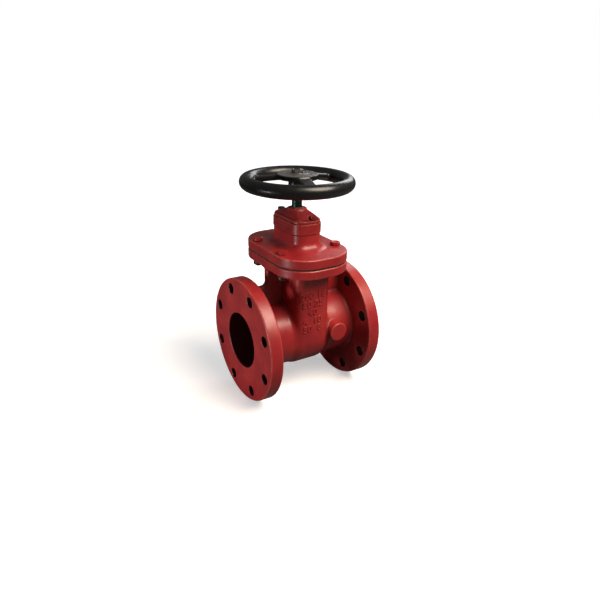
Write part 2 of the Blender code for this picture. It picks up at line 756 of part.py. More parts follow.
def plate_ridge(bottom):
    """The hipped ridge that falls from the boss to both ends of the seal plate."""
    half = []
    for y, foot_half, top_half, height in RIDGE_STATIONS:
        half.append((y * MM, foot_half * MM, top_half * MM, BOSS_TOP - height * MM))
    stations = [(-y, foot, top, height) for y, foot, top, height in half] + half[::-1]
    sections = []
    for y, foot_half, top_half, height in stations:
        sections.append([
            (-foot_half, y, bottom), (foot_half, y, bottom),
            (foot_half, y, PLATE_TOP - RIM_EDGE / 2),
            (top_half, y, height), (-top_half, y, height),
            (-foot_half, y, PLATE_TOP - RIM_EDGE / 2),
        ])
    return loft("plate_ridge", sections, CUTTERS)


def make_seal_plate():
    plan = [
        (-PLATE_INSET, PLATE_BOTTOM),
        (-PLATE_INSET, PLATE_TOP - RIM_EDGE),
        (-PLATE_INSET - RIM_EDGE, PLATE_TOP),
    ]
    seal_plate = neck_form("seal_plate", plan, PARTS, RED_PAINT)
    inside = PLATE_BOTTOM + SEAL_PLATE / 3
    add(seal_plate, plate_ridge(inside))
    profile = [(0.0, BOSS_TOP)]
    profile += [(BOSS_RADIUS - RIM_EDGE / 2, BOSS_TOP)]
    profile += [(BOSS_RADIUS, BOSS_TOP - RIM_EDGE / 2)]
    profile += [(BOSS_RADIUS, inside)]
    profile += [(0.0, inside)]
    add(seal_plate, turned("seal_plate_boss", profile, CUTTERS, steps=BOSS_STEPS))
    middle = PLATE_BOTTOM + SEAL_PLATE / 2
    add(seal_plate, cylinder("spigot", SPIGOT_RADIUS, SPIGOT_BOTTOM, middle, CUTTERS))
    cut(seal_plate, cylinder("shaft_hole", SHAFT_HOLE, RIM_BOTTOM, HUB_BOTTOM, CUTTERS))
    half_groove = O_RING_SECTION + SEAT_GAP
    for number, height in enumerate(o_ring_heights(), 1):
        name = f"o_ring_groove_{number}"
        groove = cylinder(
            name, GROOVE_RADIUS, height - half_groove, height + half_groove, CUTTERS
        )
        cut(seal_plate, groove)
    seat = cylinder("wiper_seat", WIPER_RADIUS + SEAT_GAP, WIPER_FLOOR, HUB_BOTTOM, CUTTERS)
    cut(seal_plate, seat)
    cut(seal_plate, seal_bolt_hole_tools("spotfaces", SPOTFACE_RADIUS, PLATE_TOP))
    cut(seal_plate, seal_bolt_hole_tools("seal_plate_holes", SEAL_BOLT_HOLE, RIM_BOTTOM))
    shade(seal_plate)
    return seal_plate


def make_seal_plate_gasket():
    """A ring round the spigot, in the step at the top of the collar's recess."""
    inner = SPIGOT_RADIUS + SEAT_GAP
    outer = inner + SEAL_RING_WALL
    top = PLATE_BOTTOM - SEAT_GAP
    bottom = RIM_TOP - SEAL_STEP + SEAT_GAP
    return ring("seal_plate_gasket", inner, outer, bottom, top, RUBBER)


def make_stem():
    """Threaded length, thrust collar, shaft, wheel square and threaded tip."""
    square_bottom = HUB_BOTTOM - SEAT_GAP
    lead_in = THREAD_RADIUS / 6
    profile = [
        (0.0, STEM_TOP),
        (STEM_TIP_RADIUS - lead_in / 2, STEM_TOP),
        (STEM_TIP_RADIUS, STEM_TOP - lead_in / 2),
        (STEM_TIP_RADIUS, square_bottom),
        (STEM_RADIUS, square_bottom),
        (STEM_RADIUS, COLLAR_TOP),
        (COLLAR_RADIUS, COLLAR_TOP),
        (COLLAR_RADIUS, COLLAR_BOTTOM),
        (THREAD_RADIUS, COLLAR_BOTTOM),
        (THREAD_RADIUS, STEM_BOTTOM + lead_in),
        (THREAD_RADIUS - lead_in, STEM_BOTTOM),
        (0.0, STEM_BOTTOM),
    ]
    stem = turned("stem", profile, PARTS, STEM_STEEL)
    half = WHEEL_SQUARE / 2
    top = HUB_TOP - SEAT_GAP
    low = (-half, -half, square_bottom - STEM_RADIUS / 2)
    add(stem, block("wheel_square", low, (half, half, top), CUTTERS))
    shade(stem)
    return stem


def ring(name, inner, outer, bottom, top, material, steps=SMALL_STEPS):
    profile = [(outer, top), (outer, bottom), (inner, bottom), (inner, top)]
    return turned(name, profile, PARTS, material, steps, closed=True)


def make_thrust_washers():
    lower_top = LOWER_WASHER_BOTTOM + THRUST_WASHER
    upper_top = UPPER_WASHER_BOTTOM + THRUST_WASHER
    return [
        ring("thrust_washer_lower", STEM_HOLE, WASHER_RADIUS, LOWER_WASHER_BOTTOM, lower_top, BRONZE),
        ring("thrust_washer_upper", SHAFT_HOLE, WASHER_RADIUS, UPPER_WASHER_BOTTOM, upper_top, BRONZE),
    ]


def make_o_rings():
    rings = []
    centre = SHAFT_HOLE + O_RING_SECTION
    for number, height in enumerate(o_ring_heights(), 1):
        profile = arc((centre, height), O_RING_SECTION, 90, -270, 6)[:-1]
        rings.append(turned(f"stem_o_ring_{number}", profile, PARTS, RUBBER, closed=True))
    return rings


def make_wiper():
    bottom = WIPER_FLOOR + SEAT_GAP
    lip = SHAFT_HOLE + WIPER_WALL / 3
    profile = [
        (lip, BOSS_TOP + WIPER_LIP),
        (WIPER_RADIUS, BOSS_TOP),
        (WIPER_RADIUS, bottom),
        (SHAFT_HOLE, bottom),
        (SHAFT_HOLE, BOSS_TOP + WIPER_LIP),
    ]
    return turned("stem_wiper", profile, PARTS, RUBBER, closed=True)


def hex_bolt(name, radius, hex_radius, head, seat, length, material):
    """A hexagon-head bolt, head up, whose head stands on the height seat."""
    bottom = seat + SEAT_GAP
    bolt = cylinder(name, hex_radius, bottom, bottom + head, PARTS, material, steps=6)
    bevel(bolt, head / 7, 1)
    tip = radius / 5
    shank = [(0.0, bottom + head / 2), (radius, bottom + head / 2)]
    shank += [(radius, bottom - length + tip), (radius - tip, bottom - length)]
    shank += [(0.0, bottom - length)]
    add(bolt, turned(name + "_shank", shank, CUTTERS, steps=HOLE_STEPS))
    return bolt


def hex_nut(name, hole, hex_radius, bottom, height, material):
    nut = cylinder(name, hex_radius, bottom, bottom + height, PARTS, material, steps=6)
    bevel(nut, height / 9, 1)
    tool = cylinder(name + "_hole", hole, bottom - height, bottom + 2 * height, CUTTERS,
                    steps=HOLE_STEPS)
    cut(nut, tool)
    return nut


def make_bonnet_bolts():
    """Four bolts with their nuts under the body's plate; head and nut at the same place."""
    pieces = []
    nut_bottom = BODY_PLATE_BOTTOM - SEAT_GAP - BOLT_NUT
    length = BONNET_PLATE_TOP - nut_bottom + BOLT_TIP
    for number, (x, y) in enumerate(bolt_positions(), 1):
        bolt = hex_bolt(
            f"bonnet_bolt_{number}", BOLT_RADIUS, BOLT_HEX_RADIUS, BOLT_HEAD,
            BONNET_PLATE_TOP, length, PAINTED_BOLT,
        )
        nut = hex_nut(
            f"bonnet_nut_{number}", BOLT_RADIUS + SEAT_GAP, BOLT_HEX_RADIUS, nut_bottom,
            BOLT_NUT, BOLT_STEEL,
        )
        for piece in (bolt, nut):
            place_with_tools(piece, (x, y, 0.0))
            pieces.append(piece)
    return pieces


def place_with_tools(item, location):
    """Move a piece and the tools of its Boolean modifiers together."""
    item.location = location
    for modifier in item.modifiers:
        if modifier.type == "BOOLEAN":
            modifier.object.location = location


def make_seal_bolts():
    pieces = []
    length = PLATE_TOP - RIM_TOP + SEAL_BOLT_REACH
    for number, (x, y) in enumerate(seal_bolt_positions(), 1):
        bolt = hex_bolt(
            f"seal_plate_bolt_{number}", SEAL_BOLT_RADIUS, SEAL_BOLT_HEX_RADIUS,
            SEAL_BOLT_HEAD, PLATE_TOP, length, BOLT_STEEL,
        )
        place_with_tools(bolt, (x, y, 0.0))
        pieces.append(bolt)
    return pieces


def wedge_disc(name, inset, collection, material=None):
    """The tapered disc, shrunk on all sides by an inset, about the wedge's centre."""
    outline = disc_outline(WEDGE_SIDE - inset, WEDGE_DEPTH - inset, WEDGE_SIDE - inset)
    disc = plate(name, outline, -WEDGE_SIDE, WEDGE_SIDE, collection, material, along="X")
    taper(disc, lambda height: wedge_half_thickness(height) - inset)
    return disc


def pocket_boss(name, grow, top):
    outline = rounded_rectangle(
        POCKET_HALF_DEPTH + grow, POCKET_HALF_WIDTH + grow, POCKET_CORNER + grow
    )
    return plate(name, outline, WEDGE_SIDE / 2 - grow, top, CUTTERS)


def lug_bar(name, grow, reach):
    half_width = LUG_HALF_WIDTH + grow
    half_height = LUG_HALF_HEIGHT + grow
    low = (-half_width, -reach, -half_height)
    return block(name, low, (half_width, reach, half_height), CUTTERS)


def make_wedge_core():
    core = wedge_disc("wedge_core", CORE_INSET, PARTS, CAST_IRON)
    add(core, pocket_boss("nut_pocket", 0.0, POCKET_TOP))
    add(core, lug_bar("guide_lugs", 0.0, LUG_END))
    half = NUT_HALF_WIDTH + SEAT_GAP
    low = (-CAVITY_HALF_X, -half, POCKET_FLOOR)
    cut(core, block("nut_slot", low, (CAVITY_HALF_X, half, POCKET_ROOF), CUTTERS))
    floor = STEM_BOTTOM - TRAVEL - STEM_END_CLEARANCE
    bore = STEM_HOLE + SEAT_GAP
    cut(core, cylinder("stem_passage", bore, floor, POCKET_TOP + ROOF, CUTTERS))
    shade(core)
    return core


def make_wedge_rubber():
    """The rubber jacket: one skin over the iron, open round the pocket and the lugs."""
    rubber = wedge_disc("wedge_rubber", 0.0, PARTS, RUBBER)
    cut(rubber, wedge_disc("core_space", RUBBER_THICKNESS, CUTTERS))
    cut(rubber, pocket_boss("pocket_space", SEAT_GAP, POCKET_TOP))
    cut(rubber, lug_bar("lug_space", SEAT_GAP, SHOE_END))
    for side in (-1, 1):
        tool = cylinder(
            "face_recess", FACE_RECESS_RADIUS, -FACE_RECESS_DEPTH, FACE_RECESS_DEPTH, CUTTERS,
            steps=TURN_STEPS,
        )
        tool.location.x = side * wedge_half_thickness(0.0)
        tool.rotation_euler.y = math.pi / 2 + side * WEDGE_TAPER
        cut(rubber, tool)
    shade(rubber)
    return rubber


def make_guide_shoes():
    """A plastic cap over the end of each guide lug."""
    shoes = []
    inner = WEDGE_SIDE + SEAT_GAP
    for name, side in (("guide_shoe_front", -1), ("guide_shoe_back", 1)):
        ends = sorted((side * inner, side * SHOE_END))
        low = (-SHOE_HALF_WIDTH, ends[0], -SHOE_HALF_HEIGHT)
        high = (SHOE_HALF_WIDTH, ends[1], SHOE_HALF_HEIGHT)
        shoe = block(name, low, high, PARTS, NYLON)
        cut(shoe, lug_bar(name + "_socket", SEAT_GAP, LUG_END + SEAT_GAP))
        shoes.append(shoe)
    return shoes


def make_stem_nut():
    half = NUT_HALF_WIDTH
    nut = block("stem_nut", (-half, -half, NUT_BOTTOM), (half, half, NUT_TOP), PARTS, BRONZE)
    bevel(nut, half / 12, 1)
    tool = cylinder("stem_nut_thread", STEM_HOLE, WEDGE_SIDE, POCKET_TOP, CUTTERS)
    cut(nut, tool)
    return nut


def spoke(angle):
    """One wheel spoke: a rounded bar that dips from the hub to the rim."""
    start = HUB_NECK_RADIUS
    end = WHEEL_RADIUS - RIM_TUBE
    hub_height = HUB_TOP - HUB_DISC / 2 - SPOKE_DEPTH / 4
    direction = Vector((math.cos(angle), math.sin(angle), 0.0))
    across = Vector((-math.sin(angle), math.cos(angle), 0.0))
    sections = []
    for i in range(SPOKE_STEPS + 1):
        part = i / SPOKE_STEPS
        ease = part * part * (3 - 2 * part)
        width = SPOKE_ROOT_WIDTH + (SPOKE_TIP_WIDTH - SPOKE_ROOT_WIDTH) * part
        height = hub_height + (RIM_PLANE - hub_height) * ease
        centre = direction * (start + (end - start) * part) + Vector((0.0, 0.0, height))
        section = []
        edge = SPOKE_DEPTH * SPOKE_EDGE_SHARE
        for along, up in rounded_rectangle(width / 2, SPOKE_DEPTH / 2, edge, 2):
            section.append(centre + across * along + Vector((0.0, 0.0, up)))
        sections.append(section)
    return loft("spoke", sections, CUTTERS)


def make_handwheel():
    """A cast wheel: round rim, three spokes and a hub with a square socket."""
    edge = HUB_DISC / 5
    disc_bottom = HUB_TOP - HUB_DISC
    fillet_centre = (HUB_NECK_RADIUS + HUB_FILLET, disc_bottom - HUB_FILLET)
    profile = [(0.0, HUB_TOP)]
    profile += arc((HUB_DISC_RADIUS - edge, HUB_TOP - edge), edge, 90, 0, 2)
    profile += arc((HUB_DISC_RADIUS - edge, disc_bottom + edge), edge, 0, -90, 1)
    profile += arc(fillet_centre, HUB_FILLET, 90, 180)
    profile += [(HUB_NECK_RADIUS, HUB_BOTTOM), (0.0, HUB_BOTTOM)]
    wheel = turned("handwheel", profile, PARTS, BLACK_PAINT, WHEEL_STEPS)

    bpy.ops.mesh.primitive_torus_add(
        major_radius=WHEEL_RADIUS - RIM_TUBE,
        minor_radius=RIM_TUBE,
        major_segments=TURN_STEPS + 4,
        minor_segments=RIM_STEPS,
        location=(0.0, 0.0, RIM_PLANE),
    )
    rim = bpy.context.object
    rim.name = "wheel_rim"
    bpy.ops.object.transform_apply(location=True)
    for owner in list(rim.users_collection):
        owner.objects.unlink(rim)
    CUTTERS.objects.link(rim)
    rim.hide_render = True
    rim.display_type = "WIRE"
    for i in range(SPOKES):
        add(wheel, spoke(FIRST_SPOKE + 2 * math.pi * i / SPOKES))
    add(wheel, rim)
    half = WHEEL_SQUARE / 2 + SEAT_GAP
    low = (-half, -half, HUB_BOTTOM - HUB_DISC)
    cut(wheel, block("wheel_socket", low, (half, half, HUB_TOP + HUB_DISC), CUTTERS))
    shade(wheel)
    return wheel


def make_wheel_fastening():
    washer_top = WHEEL_WASHER_BOTTOM + WHEEL_WASHER
    hole = STEM_TIP_RADIUS + SEAT_GAP
    washer = ring(
        "handwheel_washer", hole, WHEEL_WASHER_RADIUS, WHEEL_WASHER_BOTTOM, washer_top, BOLT_STEEL
    )
    nut = hex_nut(
        "handwheel_nut", hole, WHEEL_NUT_HEX_RADIUS, WHEEL_NUT_BOTTOM, WHEEL_NUT, BOLT_STEEL
    )
    return [washer, nut]


def empty(name, location, parent=None):
    item = bpy.data.objects.new(name, None)
    PARTS.objects.link(item)
    item.location = location
    item.parent = parent
    return item


def carry(parent, pieces):
    """Parent the pieces; tools of their modifiers move by the parent's place too."""
    for piece in pieces:
        piece.parent = parent
        for modifier in piece.modifiers:
            if modifier.type == "BOOLEAN":
                modifier.object.parent = parent


def main():
    valve = empty("valve", (0.0, 0.0, 0.0))
    stem_turn = empty("stem_turn", (0.0, 0.0, 0.0), valve)
    wedge_slide = empty("wedge_slide", (0.0, 0.0, TRAVEL), valve)
    fixed = [make_body(), make_bonnet_gasket(), make_bonnet()]
    fixed += make_bonnet_bolts()
    fixed += make_thrust_washers()
    fixed += [make_seal_plate_gasket(), make_seal_plate()]
    fixed += make_seal_bolts()
    fixed += make_o_rings()
    fixed += [make_wiper()]
    carry(valve, fixed)
    carry(stem_turn, [make_stem(), make_handwheel(), *make_wheel_fastening()])
    wedge = [make_wedge_core(), make_wedge_rubber(), make_stem_nut(), *make_guide_shoes()]
    carry(wedge_slide, wedge)


main()
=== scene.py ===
"""Looks of a flanged gate valve: painted castings, handwheel, stem, bolts and seals.

Shapes are worked out in millimetres and stored in metres. X runs along the pipe, Z up the stem.
"""

import math

import bmesh
import bpy
import numpy as np
from mathutils import Matrix, Vector


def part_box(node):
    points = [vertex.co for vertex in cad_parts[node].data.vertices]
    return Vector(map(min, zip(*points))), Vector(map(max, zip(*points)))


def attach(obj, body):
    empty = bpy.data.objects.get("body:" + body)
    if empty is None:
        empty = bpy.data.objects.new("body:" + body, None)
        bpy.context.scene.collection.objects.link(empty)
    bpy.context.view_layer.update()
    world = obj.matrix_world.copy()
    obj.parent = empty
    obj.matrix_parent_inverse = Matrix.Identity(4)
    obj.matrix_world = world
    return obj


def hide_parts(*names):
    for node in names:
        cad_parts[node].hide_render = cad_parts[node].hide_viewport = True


MM = 0.001

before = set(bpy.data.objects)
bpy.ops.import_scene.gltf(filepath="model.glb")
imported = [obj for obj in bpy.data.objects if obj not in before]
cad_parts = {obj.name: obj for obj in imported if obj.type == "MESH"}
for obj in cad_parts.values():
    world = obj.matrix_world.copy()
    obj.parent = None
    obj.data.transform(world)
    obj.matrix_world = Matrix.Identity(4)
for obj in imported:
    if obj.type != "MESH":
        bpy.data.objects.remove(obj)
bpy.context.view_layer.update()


def corners(node):
    """A node's lowest and highest corner, in millimetres."""
    low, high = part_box(node)
    return np.array(low) / MM, np.array(high) / MM


# Sizes read from the frame
BODY_LOW, BODY_HIGH = corners("body")
BONNET_LOW, BONNET_HIGH = corners("bonnet")
PLATE_LOW, PLATE_HIGH = corners("seal_plate")
WHEEL_LOW, WHEEL_HIGH = corners("handwheel")
FACE = BODY_HIGH[0]
FLANGE_RADIUS = -BODY_LOW[2]
BODY_TOP = BODY_HIGH[2]
BONNET_BOTTOM = BONNET_LOW[2]
RIM_TOP = BONNET_HIGH[2]
BOSS_TOP = PLATE_HIGH[2]
JOINT_HALF_X = BONNET_HIGH[0]
JOINT_HALF_Y = BONNET_HIGH[1]

# Pipe run and flanges
BORE_RADIUS = 50.8
NECK_RADIUS = 61.0
FLANGE_THICKNESS = 23.8
FLANGE_EDGE = 2.5
FLANGE_FILLET = 5.0
BOLT_CIRCLE_RADIUS = 95.25
FLANGE_HOLE_RADIUS = 9.525
FLANGE_HOLES = 8
BORE_EDGE = 1.2
HOLE_EDGE = 0.8
MACHINED_RADIUS = 79.0

# Chamber, webs and side boss
CHAMBER_HALF_X = 34.05
CHAMBER_HALF_Y = 66.0
CHAMBER_DEPTH = 62.5
CHAMBER_CORNER = 14.0
CHAMBER_FILLET = 7.0
WEB_HALF = 6.5
WEB_REACH = 63.0
WEB_SHELF = 97.0
WEB_CORNER = 8.0
SIDE_BOSS_X = 49.5
SIDE_BOSS_Z = 8.0
SIDE_BOSS_RADIUS = 17.5
SIDE_BOSS_FACE = 75.2
SIDE_BOSS_EDGE = 2.0
SIDE_BOSS_FILLET = 3.5

# Bolted joint
JOINT_CORNER = 54.0
BODY_PLATE = 16.0
BONNET_PLATE = 17.0
PLATE_EDGE = 2.5
BOLT_X = 54.0
BOLT_Y = 44.0
BOLT_RADIUS = 6.0
BOLT_CLEARANCE = 0.6

# Bonnet neck
NECK_HALF_X = 27.0
NECK_HALF_Y = 48.0
NECK_CORNER = 19.0
COVE = 14.0
RIM_PROUD = 1.2
RIM_HEIGHT = 18.0
RIM_EDGE = 0.9
RIM_FILLET = 1.0

# The bonnet's hollows
CAVITY_HALF_X = 26.0
LOWER_ROOM_HALF_Y = 46.0
LOWER_ROOM_HEIGHT = 12.0
UPPER_ROOM_HALF_X = 20.7
UPPER_ROOM_HALF_Y = 40.0
UPPER_ROOM_CEILING = 16.0
ROOM_CORNER = 12.0
STEM_HOLE_RADIUS = 11.3
COLLAR_ROOM_RADIUS = 18.5
COLLAR_ROOM_DEPTH = 12.0
TAPPED_DEPTH = 10.6
TAPPED_EDGE = 0.3

# Seal plate
SEAL_PLATE_EDGE = 4.5
SEAL_PLATE_INSET = 0.6
SEAL_PLATE_ROUND = 1.4
SPIGOT_RADIUS = 18.2
SPIGOT_DEPTH = 2.4
CREST_DROP = 0.8
CREST_FALL = 0.0068
RIDGE_HALF_X = 13.5
RIDGE_INSET = 1.5
RIDGE_ROUND = 3.0
RIDGE_FILLET = 2.0
HIP_SPREAD = 0.72
HIP_COSINE = 0.81
BOSS_RADIUS = 17.5
BOSS_EDGE = 1.0
BOSS_FILLET = 3.0
STEM_BORE_RADIUS = 9.3
SEAL_BOLT_X = 8.0
SEAL_BOLT_Y = 40.0
SEAL_BOLT_RADIUS = 4.0
SEAL_HOLE_RADIUS = 4.6
SPOTFACE_RADIUS = 8.4
WIPER_RADIUS = 14.0
WIPER_ROOM = 0.3
WIPER_DEPTH = 3.5
WIPER_SEAT_EDGE = 0.5

# Handwheel
RIM_TUBE = 12.0
HUB_RADIUS = 36.0
HUB_DISC = 8.5
HUB_EDGE = 1.7
HUB_NECK_RADIUS = 15.5
HUB_NECK_EDGE = 1.0
WHEEL_DISH = 14.0
WHEEL_FILLET = 6.0
SPOKES = 3
FIRST_SPOKE = math.radians(18.0)
SPOKE_ROOT_HALF = 13.5
SPOKE_TIP_HALF = 10.5
SPOKE_DEPTH = 9.0
SPOKE_EDGE = 3.8
SPOKE_FILLET = 3.5
SQUARE_HALF = 6.5

# The body's inside
SLOT_SIDE = 55.6
SLOT_DEPTH = 52.5
SLOT_ROOM = 0.65
CAVITY_CORNER = 3.6
GUIDE_END = 59.3
GUIDE_HALF = 9.3
GUIDE_FOOT = -20.5
WEDGE_TAPER = math.radians(3.3)
WEDGE_HALF = 21.5

# Stem
SHAFT_RADIUS = 9.0
SHAFT_SQUARE_HALF = 6.2
TIP_RADIUS = 6.0
TIP_GROOVE_RADIUS = 5.0
TIP_DEPTH = 0.9
TIP_PITCH = 1.5
THREAD_RADIUS = 11.0
THREAD_DEPTH = 3.2
THREAD_LEAD = 8.0
THREAD_LAND = 0.26
THREAD_START = 12.0
COLLAR_ROUND = 0.5

# Bolts and nuts
JOINT_HEAD = 6.0
SEAL_HEAD = 7.0
BOLT_PITCH = 1.75
BOLT_THREADED = 14.0
SEAL_BOLT_PITCH = 1.25
SEAL_BOLT_THREADED = 9.0
NUT_BORE_RADIUS = 6.1
WASHER_BORE_RADIUS = 6.5

# Numbers cast on the chamber's front
NUMBERS_X = -4.0
NUMBERS_TOP = 84.0
NUMBERS_SIZE = 17.0
NUMBERS_STRETCH = 1.12
NUMBERS_SUNK = 0.15

# How far parts of one casting reach into each other, and the edge of its small holes
OVERLAP = 1.0
FINE_EDGE = 0.4

# Grid steps of the castings
BODY_CELL = 1.7
FINE_CELL = 1.2
PLATE_CELL = 0.8

# The bend between which edges get wear and a painted highlight, and corners get dirt and painted shade
EDGE_WEAR_AND_HIGHLIGHT_BEND = (0.12, 0.55)
CREASE_SHADE_AND_DIRT_BEND = (0.03, 0.34)


# Distances of forms; each is negative inside and in millimetres

def both(a, b):
    """What two forms share: the greater distance."""
    return np.maximum(a, b)


def rounded_both(a, b, radius):
    """What two forms share, its edge an arc: past -radius the distances add as a right triangle's sides."""
    u = np.maximum(a + radius, 0.0)
    v = np.maximum(b + radius, 0.0)
    return np.minimum(np.maximum(a, b), -radius) + np.hypot(u, v)


def joined(a, b, radius):
    """Two forms with an arc of the radius in the corner between them."""
    u = np.maximum(radius - a, 0.0)
    v = np.maximum(radius - b, 0.0)
    return np.maximum(np.minimum(a, b), radius) - np.hypot(u, v)


def without(a, tool, radius=0.6):
    """A form less a tool, the edge broken by an arc of the radius."""
    return rounded_both(a, -tool, radius)


def between(z, low, high):
    """Distance to a slab between two heights."""
    return np.abs(z - (low + high) / 2) - (high - low) / 2


def rounded_rectangle(x, y, half_x, half_y, radius):
    """Distance to a rectangle whose corners are arcs."""
    u = np.abs(x) - half_x + radius
    v = np.abs(y) - half_y + radius
    outside = np.hypot(np.maximum(u, 0.0), np.maximum(v, 0.0))
    return outside + np.minimum(np.maximum(u, v), 0.0) - radius


def joint_plan(x, y):
    """Distance to the joint plates' outline from above."""
    return rounded_rectangle(x, y, JOINT_HALF_X, JOINT_HALF_Y, JOINT_CORNER)


def folded_holes(y, z, circle, radius, count, offset=0.5):
    """Distance to equal round holes on a circle: the plane is folded onto one sector of it."""
    sector = 2 * math.pi / count
    turn = np.mod(np.arctan2(z, y) - offset * sector + sector / 2, sector) - sector / 2
    reach = np.hypot(y, z)
    return np.hypot(reach * np.cos(turn) - circle, reach * np.sin(turn)) - radius


def joint_bolt_holes(x, y):
    """Distance to the four bolt holes of the bonnet joint, folded onto one quarter."""
    return np.hypot(np.abs(x) - BOLT_X, np.abs(y) - BOLT_Y) - BOLT_RADIUS - BOLT_CLEARANCE


def seal_bolt_holes(x, y, radius):
    """Distance to the seal plate's two holes, which lie opposite each other through the stem."""
    first = np.hypot(x - SEAL_BOLT_X, y + SEAL_BOLT_Y)
    second = np.hypot(x + SEAL_BOLT_X, y - SEAL_BOLT_Y)
    return np.minimum(first, second) - radius


def body_form(x, y, z):
    """The body: pipe run, chamber, joint plate, webs, side boss and flanges, less its hollows."""
    along = np.abs(x)
    reach = np.hypot(y, z)
    casting = both(reach - NECK_RADIUS, along - FACE + FLANGE_THICKNESS / 2)

    below = (np.hypot(y / CHAMBER_HALF_Y, z / CHAMBER_DEPTH) - 1.0) * CHAMBER_DEPTH
    outline = np.where(z > 0.0, np.abs(y) - CHAMBER_HALF_Y, below)
    chamber = rounded_both(outline, along - CHAMBER_HALF_X, CHAMBER_CORNER)
    chamber = both(chamber, z - BODY_TOP + BODY_PLATE / 2)
    casting = joined(casting, chamber, CHAMBER_FILLET)

    plate_bottom = BODY_TOP - BODY_PLATE
    plate = rounded_both(joint_plan(x, y), between(z, plate_bottom, BODY_TOP), PLATE_EDGE)

    upright = both(along - WEB_REACH, z - plate_bottom - PLATE_EDGE)
    shelf = both(along - FACE + FLANGE_THICKNESS / 2, z - WEB_SHELF)
    web = rounded_both(joined(upright, shelf, WEB_CORNER), np.abs(y) - WEB_HALF, WEB_HALF / 2)
    web = both(web, -z)
    casting = joined(casting, web, FLANGE_FILLET)
    casting = joined(casting, plate, CHAMBER_FILLET)

    boss = np.hypot(x - SIDE_BOSS_X, z - SIDE_BOSS_Z) - SIDE_BOSS_RADIUS
    proud = between(y, -SIDE_BOSS_FACE, -NECK_RADIUS + FLANGE_FILLET)
    boss = rounded_both(boss, proud, SIDE_BOSS_EDGE)
    casting = joined(casting, boss, SIDE_BOSS_FILLET)

    flange = between(along, FACE - FLANGE_THICKNESS, FACE)
    flange = rounded_both(reach - FLANGE_RADIUS, flange, FLANGE_EDGE)
    casting = joined(casting, flange, FLANGE_FILLET)

    casting = without(casting, reach - BORE_RADIUS, BORE_EDGE)
    casting = without(casting, flange_holes(x, y, z), HOLE_EDGE)
    casting = without(casting, wedge_room(x, y, z))
    return without(casting, both(joint_bolt_holes(x, y), plate_bottom - BODY_PLATE - z))


def flange_holes(x, y, z):
    """Distance to the bolt holes of both end flanges."""
    holes = folded_holes(y, z, BOLT_CIRCLE_RADIUS, FLANGE_HOLE_RADIUS, FLANGE_HOLES)
    return both(holes, FACE - FLANGE_THICKNESS - FLANGE_FILLET - np.abs(x))


def wedge_room(x, y, z):
    """Distance to the room that the wedge moves in: tapered slot, upper chamber and guide grooves."""
    along = np.abs(x)
    half_slot = WEDGE_HALF + SLOT_ROOM + z * math.tan(WEDGE_TAPER)
    slot = (np.hypot(y / SLOT_SIDE, np.minimum(z, 0.0) / SLOT_DEPTH) - 1.0) * SLOT_DEPTH
    slot = both(both(slot, along - half_slot), z - SLOT_SIDE)
    cavity = rounded_rectangle(x, y, CAVITY_HALF_X, SLOT_SIDE, CAVITY_CORNER)
    cavity = both(cavity, SLOT_SIDE - OVERLAP - z)
    groove = both(both(along - GUIDE_HALF, np.abs(y) - GUIDE_END), GUIDE_FOOT - z)
    return np.minimum(np.minimum(slot, cavity), groove)


def eased(value, start, end):
    """A smooth step from 0 at the start to 1 at the end."""
    part = np.clip((value - start) / (end - start), 0.0, 1.0)
    return part * part * (3.0 - 2.0 * part)


def body_marks(points):
    """Where the body is hollow, which its finish darkens as painted shade, and where its end faces are
    machined.
    """
    x, y, z = points.T
    reach = np.hypot(y, z)
    hollow = np.minimum(reach - BORE_RADIUS, wedge_room(x, y, z))
    hollow = np.minimum(hollow, flange_holes(x, y, z))
    machined = eased(np.abs(x), FACE - 0.6, FACE - 0.2)
    machined *= eased(reach, MACHINED_RADIUS, MACHINED_RADIUS - 1.5)
    return {"inside": eased(hollow, 1.1, 0.3), "machined": machined}


def wheel_marks(points):
    """The hub's top is bare metal."""
    x, y, z = points.T
    top = eased(z, WHEEL_HIGH[2] - 0.7, WHEEL_HIGH[2] - 0.2)
    return {"bare": top * eased(np.hypot(x, y), HUB_RADIUS - 0.8, HUB_RADIUS - 2.4)}


def bonnet_form(x, y, z):
    """The bonnet: joint plate, coved neck and the rim under the seal plate, less its hollows."""
    plate_top = BONNET_BOTTOM + BONNET_PLATE
    plate = rounded_both(joint_plan(x, y), between(z, BONNET_BOTTOM, plate_top), PLATE_EDGE)
    neck = rounded_rectangle(x, y, NECK_HALF_X, NECK_HALF_Y, NECK_CORNER)
    neck = both(neck, between(z, BONNET_BOTTOM + PLATE_EDGE, RIM_TOP - RIM_HEIGHT / 2))
    casting = joined(plate, neck, COVE)
    rim = rounded_rectangle(
        x, y, NECK_HALF_X + RIM_PROUD, NECK_HALF_Y + RIM_PROUD, NECK_CORNER + RIM_PROUD
    )
    rim = rounded_both(rim, between(z, RIM_TOP - RIM_HEIGHT, RIM_TOP), RIM_EDGE)
    casting = joined(casting, rim, RIM_FILLET)
    lower = rounded_rectangle(x, y, CAVITY_HALF_X, LOWER_ROOM_HALF_Y, ROOM_CORNER)
    lower = both(lower, z - BONNET_BOTTOM - LOWER_ROOM_HEIGHT)
    upper = rounded_rectangle(x, y, UPPER_ROOM_HALF_X, UPPER_ROOM_HALF_Y, ROOM_CORNER)
    upper = both(upper, z - RIM_TOP + UPPER_ROOM_CEILING)
    hollow = np.minimum(lower, upper)
    reach = np.hypot(x, y)
    hollow = np.minimum(hollow, reach - STEM_HOLE_RADIUS)
    hollow = np.minimum(hollow, both(reach - COLLAR_ROOM_RADIUS, RIM_TOP - COLLAR_ROOM_DEPTH - z))
    casting = without(casting, hollow)
    tapped = both(seal_bolt_holes(x, y, SEAL_HOLE_RADIUS), RIM_TOP - TAPPED_DEPTH - z)
    casting = without(casting, tapped, TAPPED_EDGE)
    return without(casting, joint_bolt_holes(x, y))


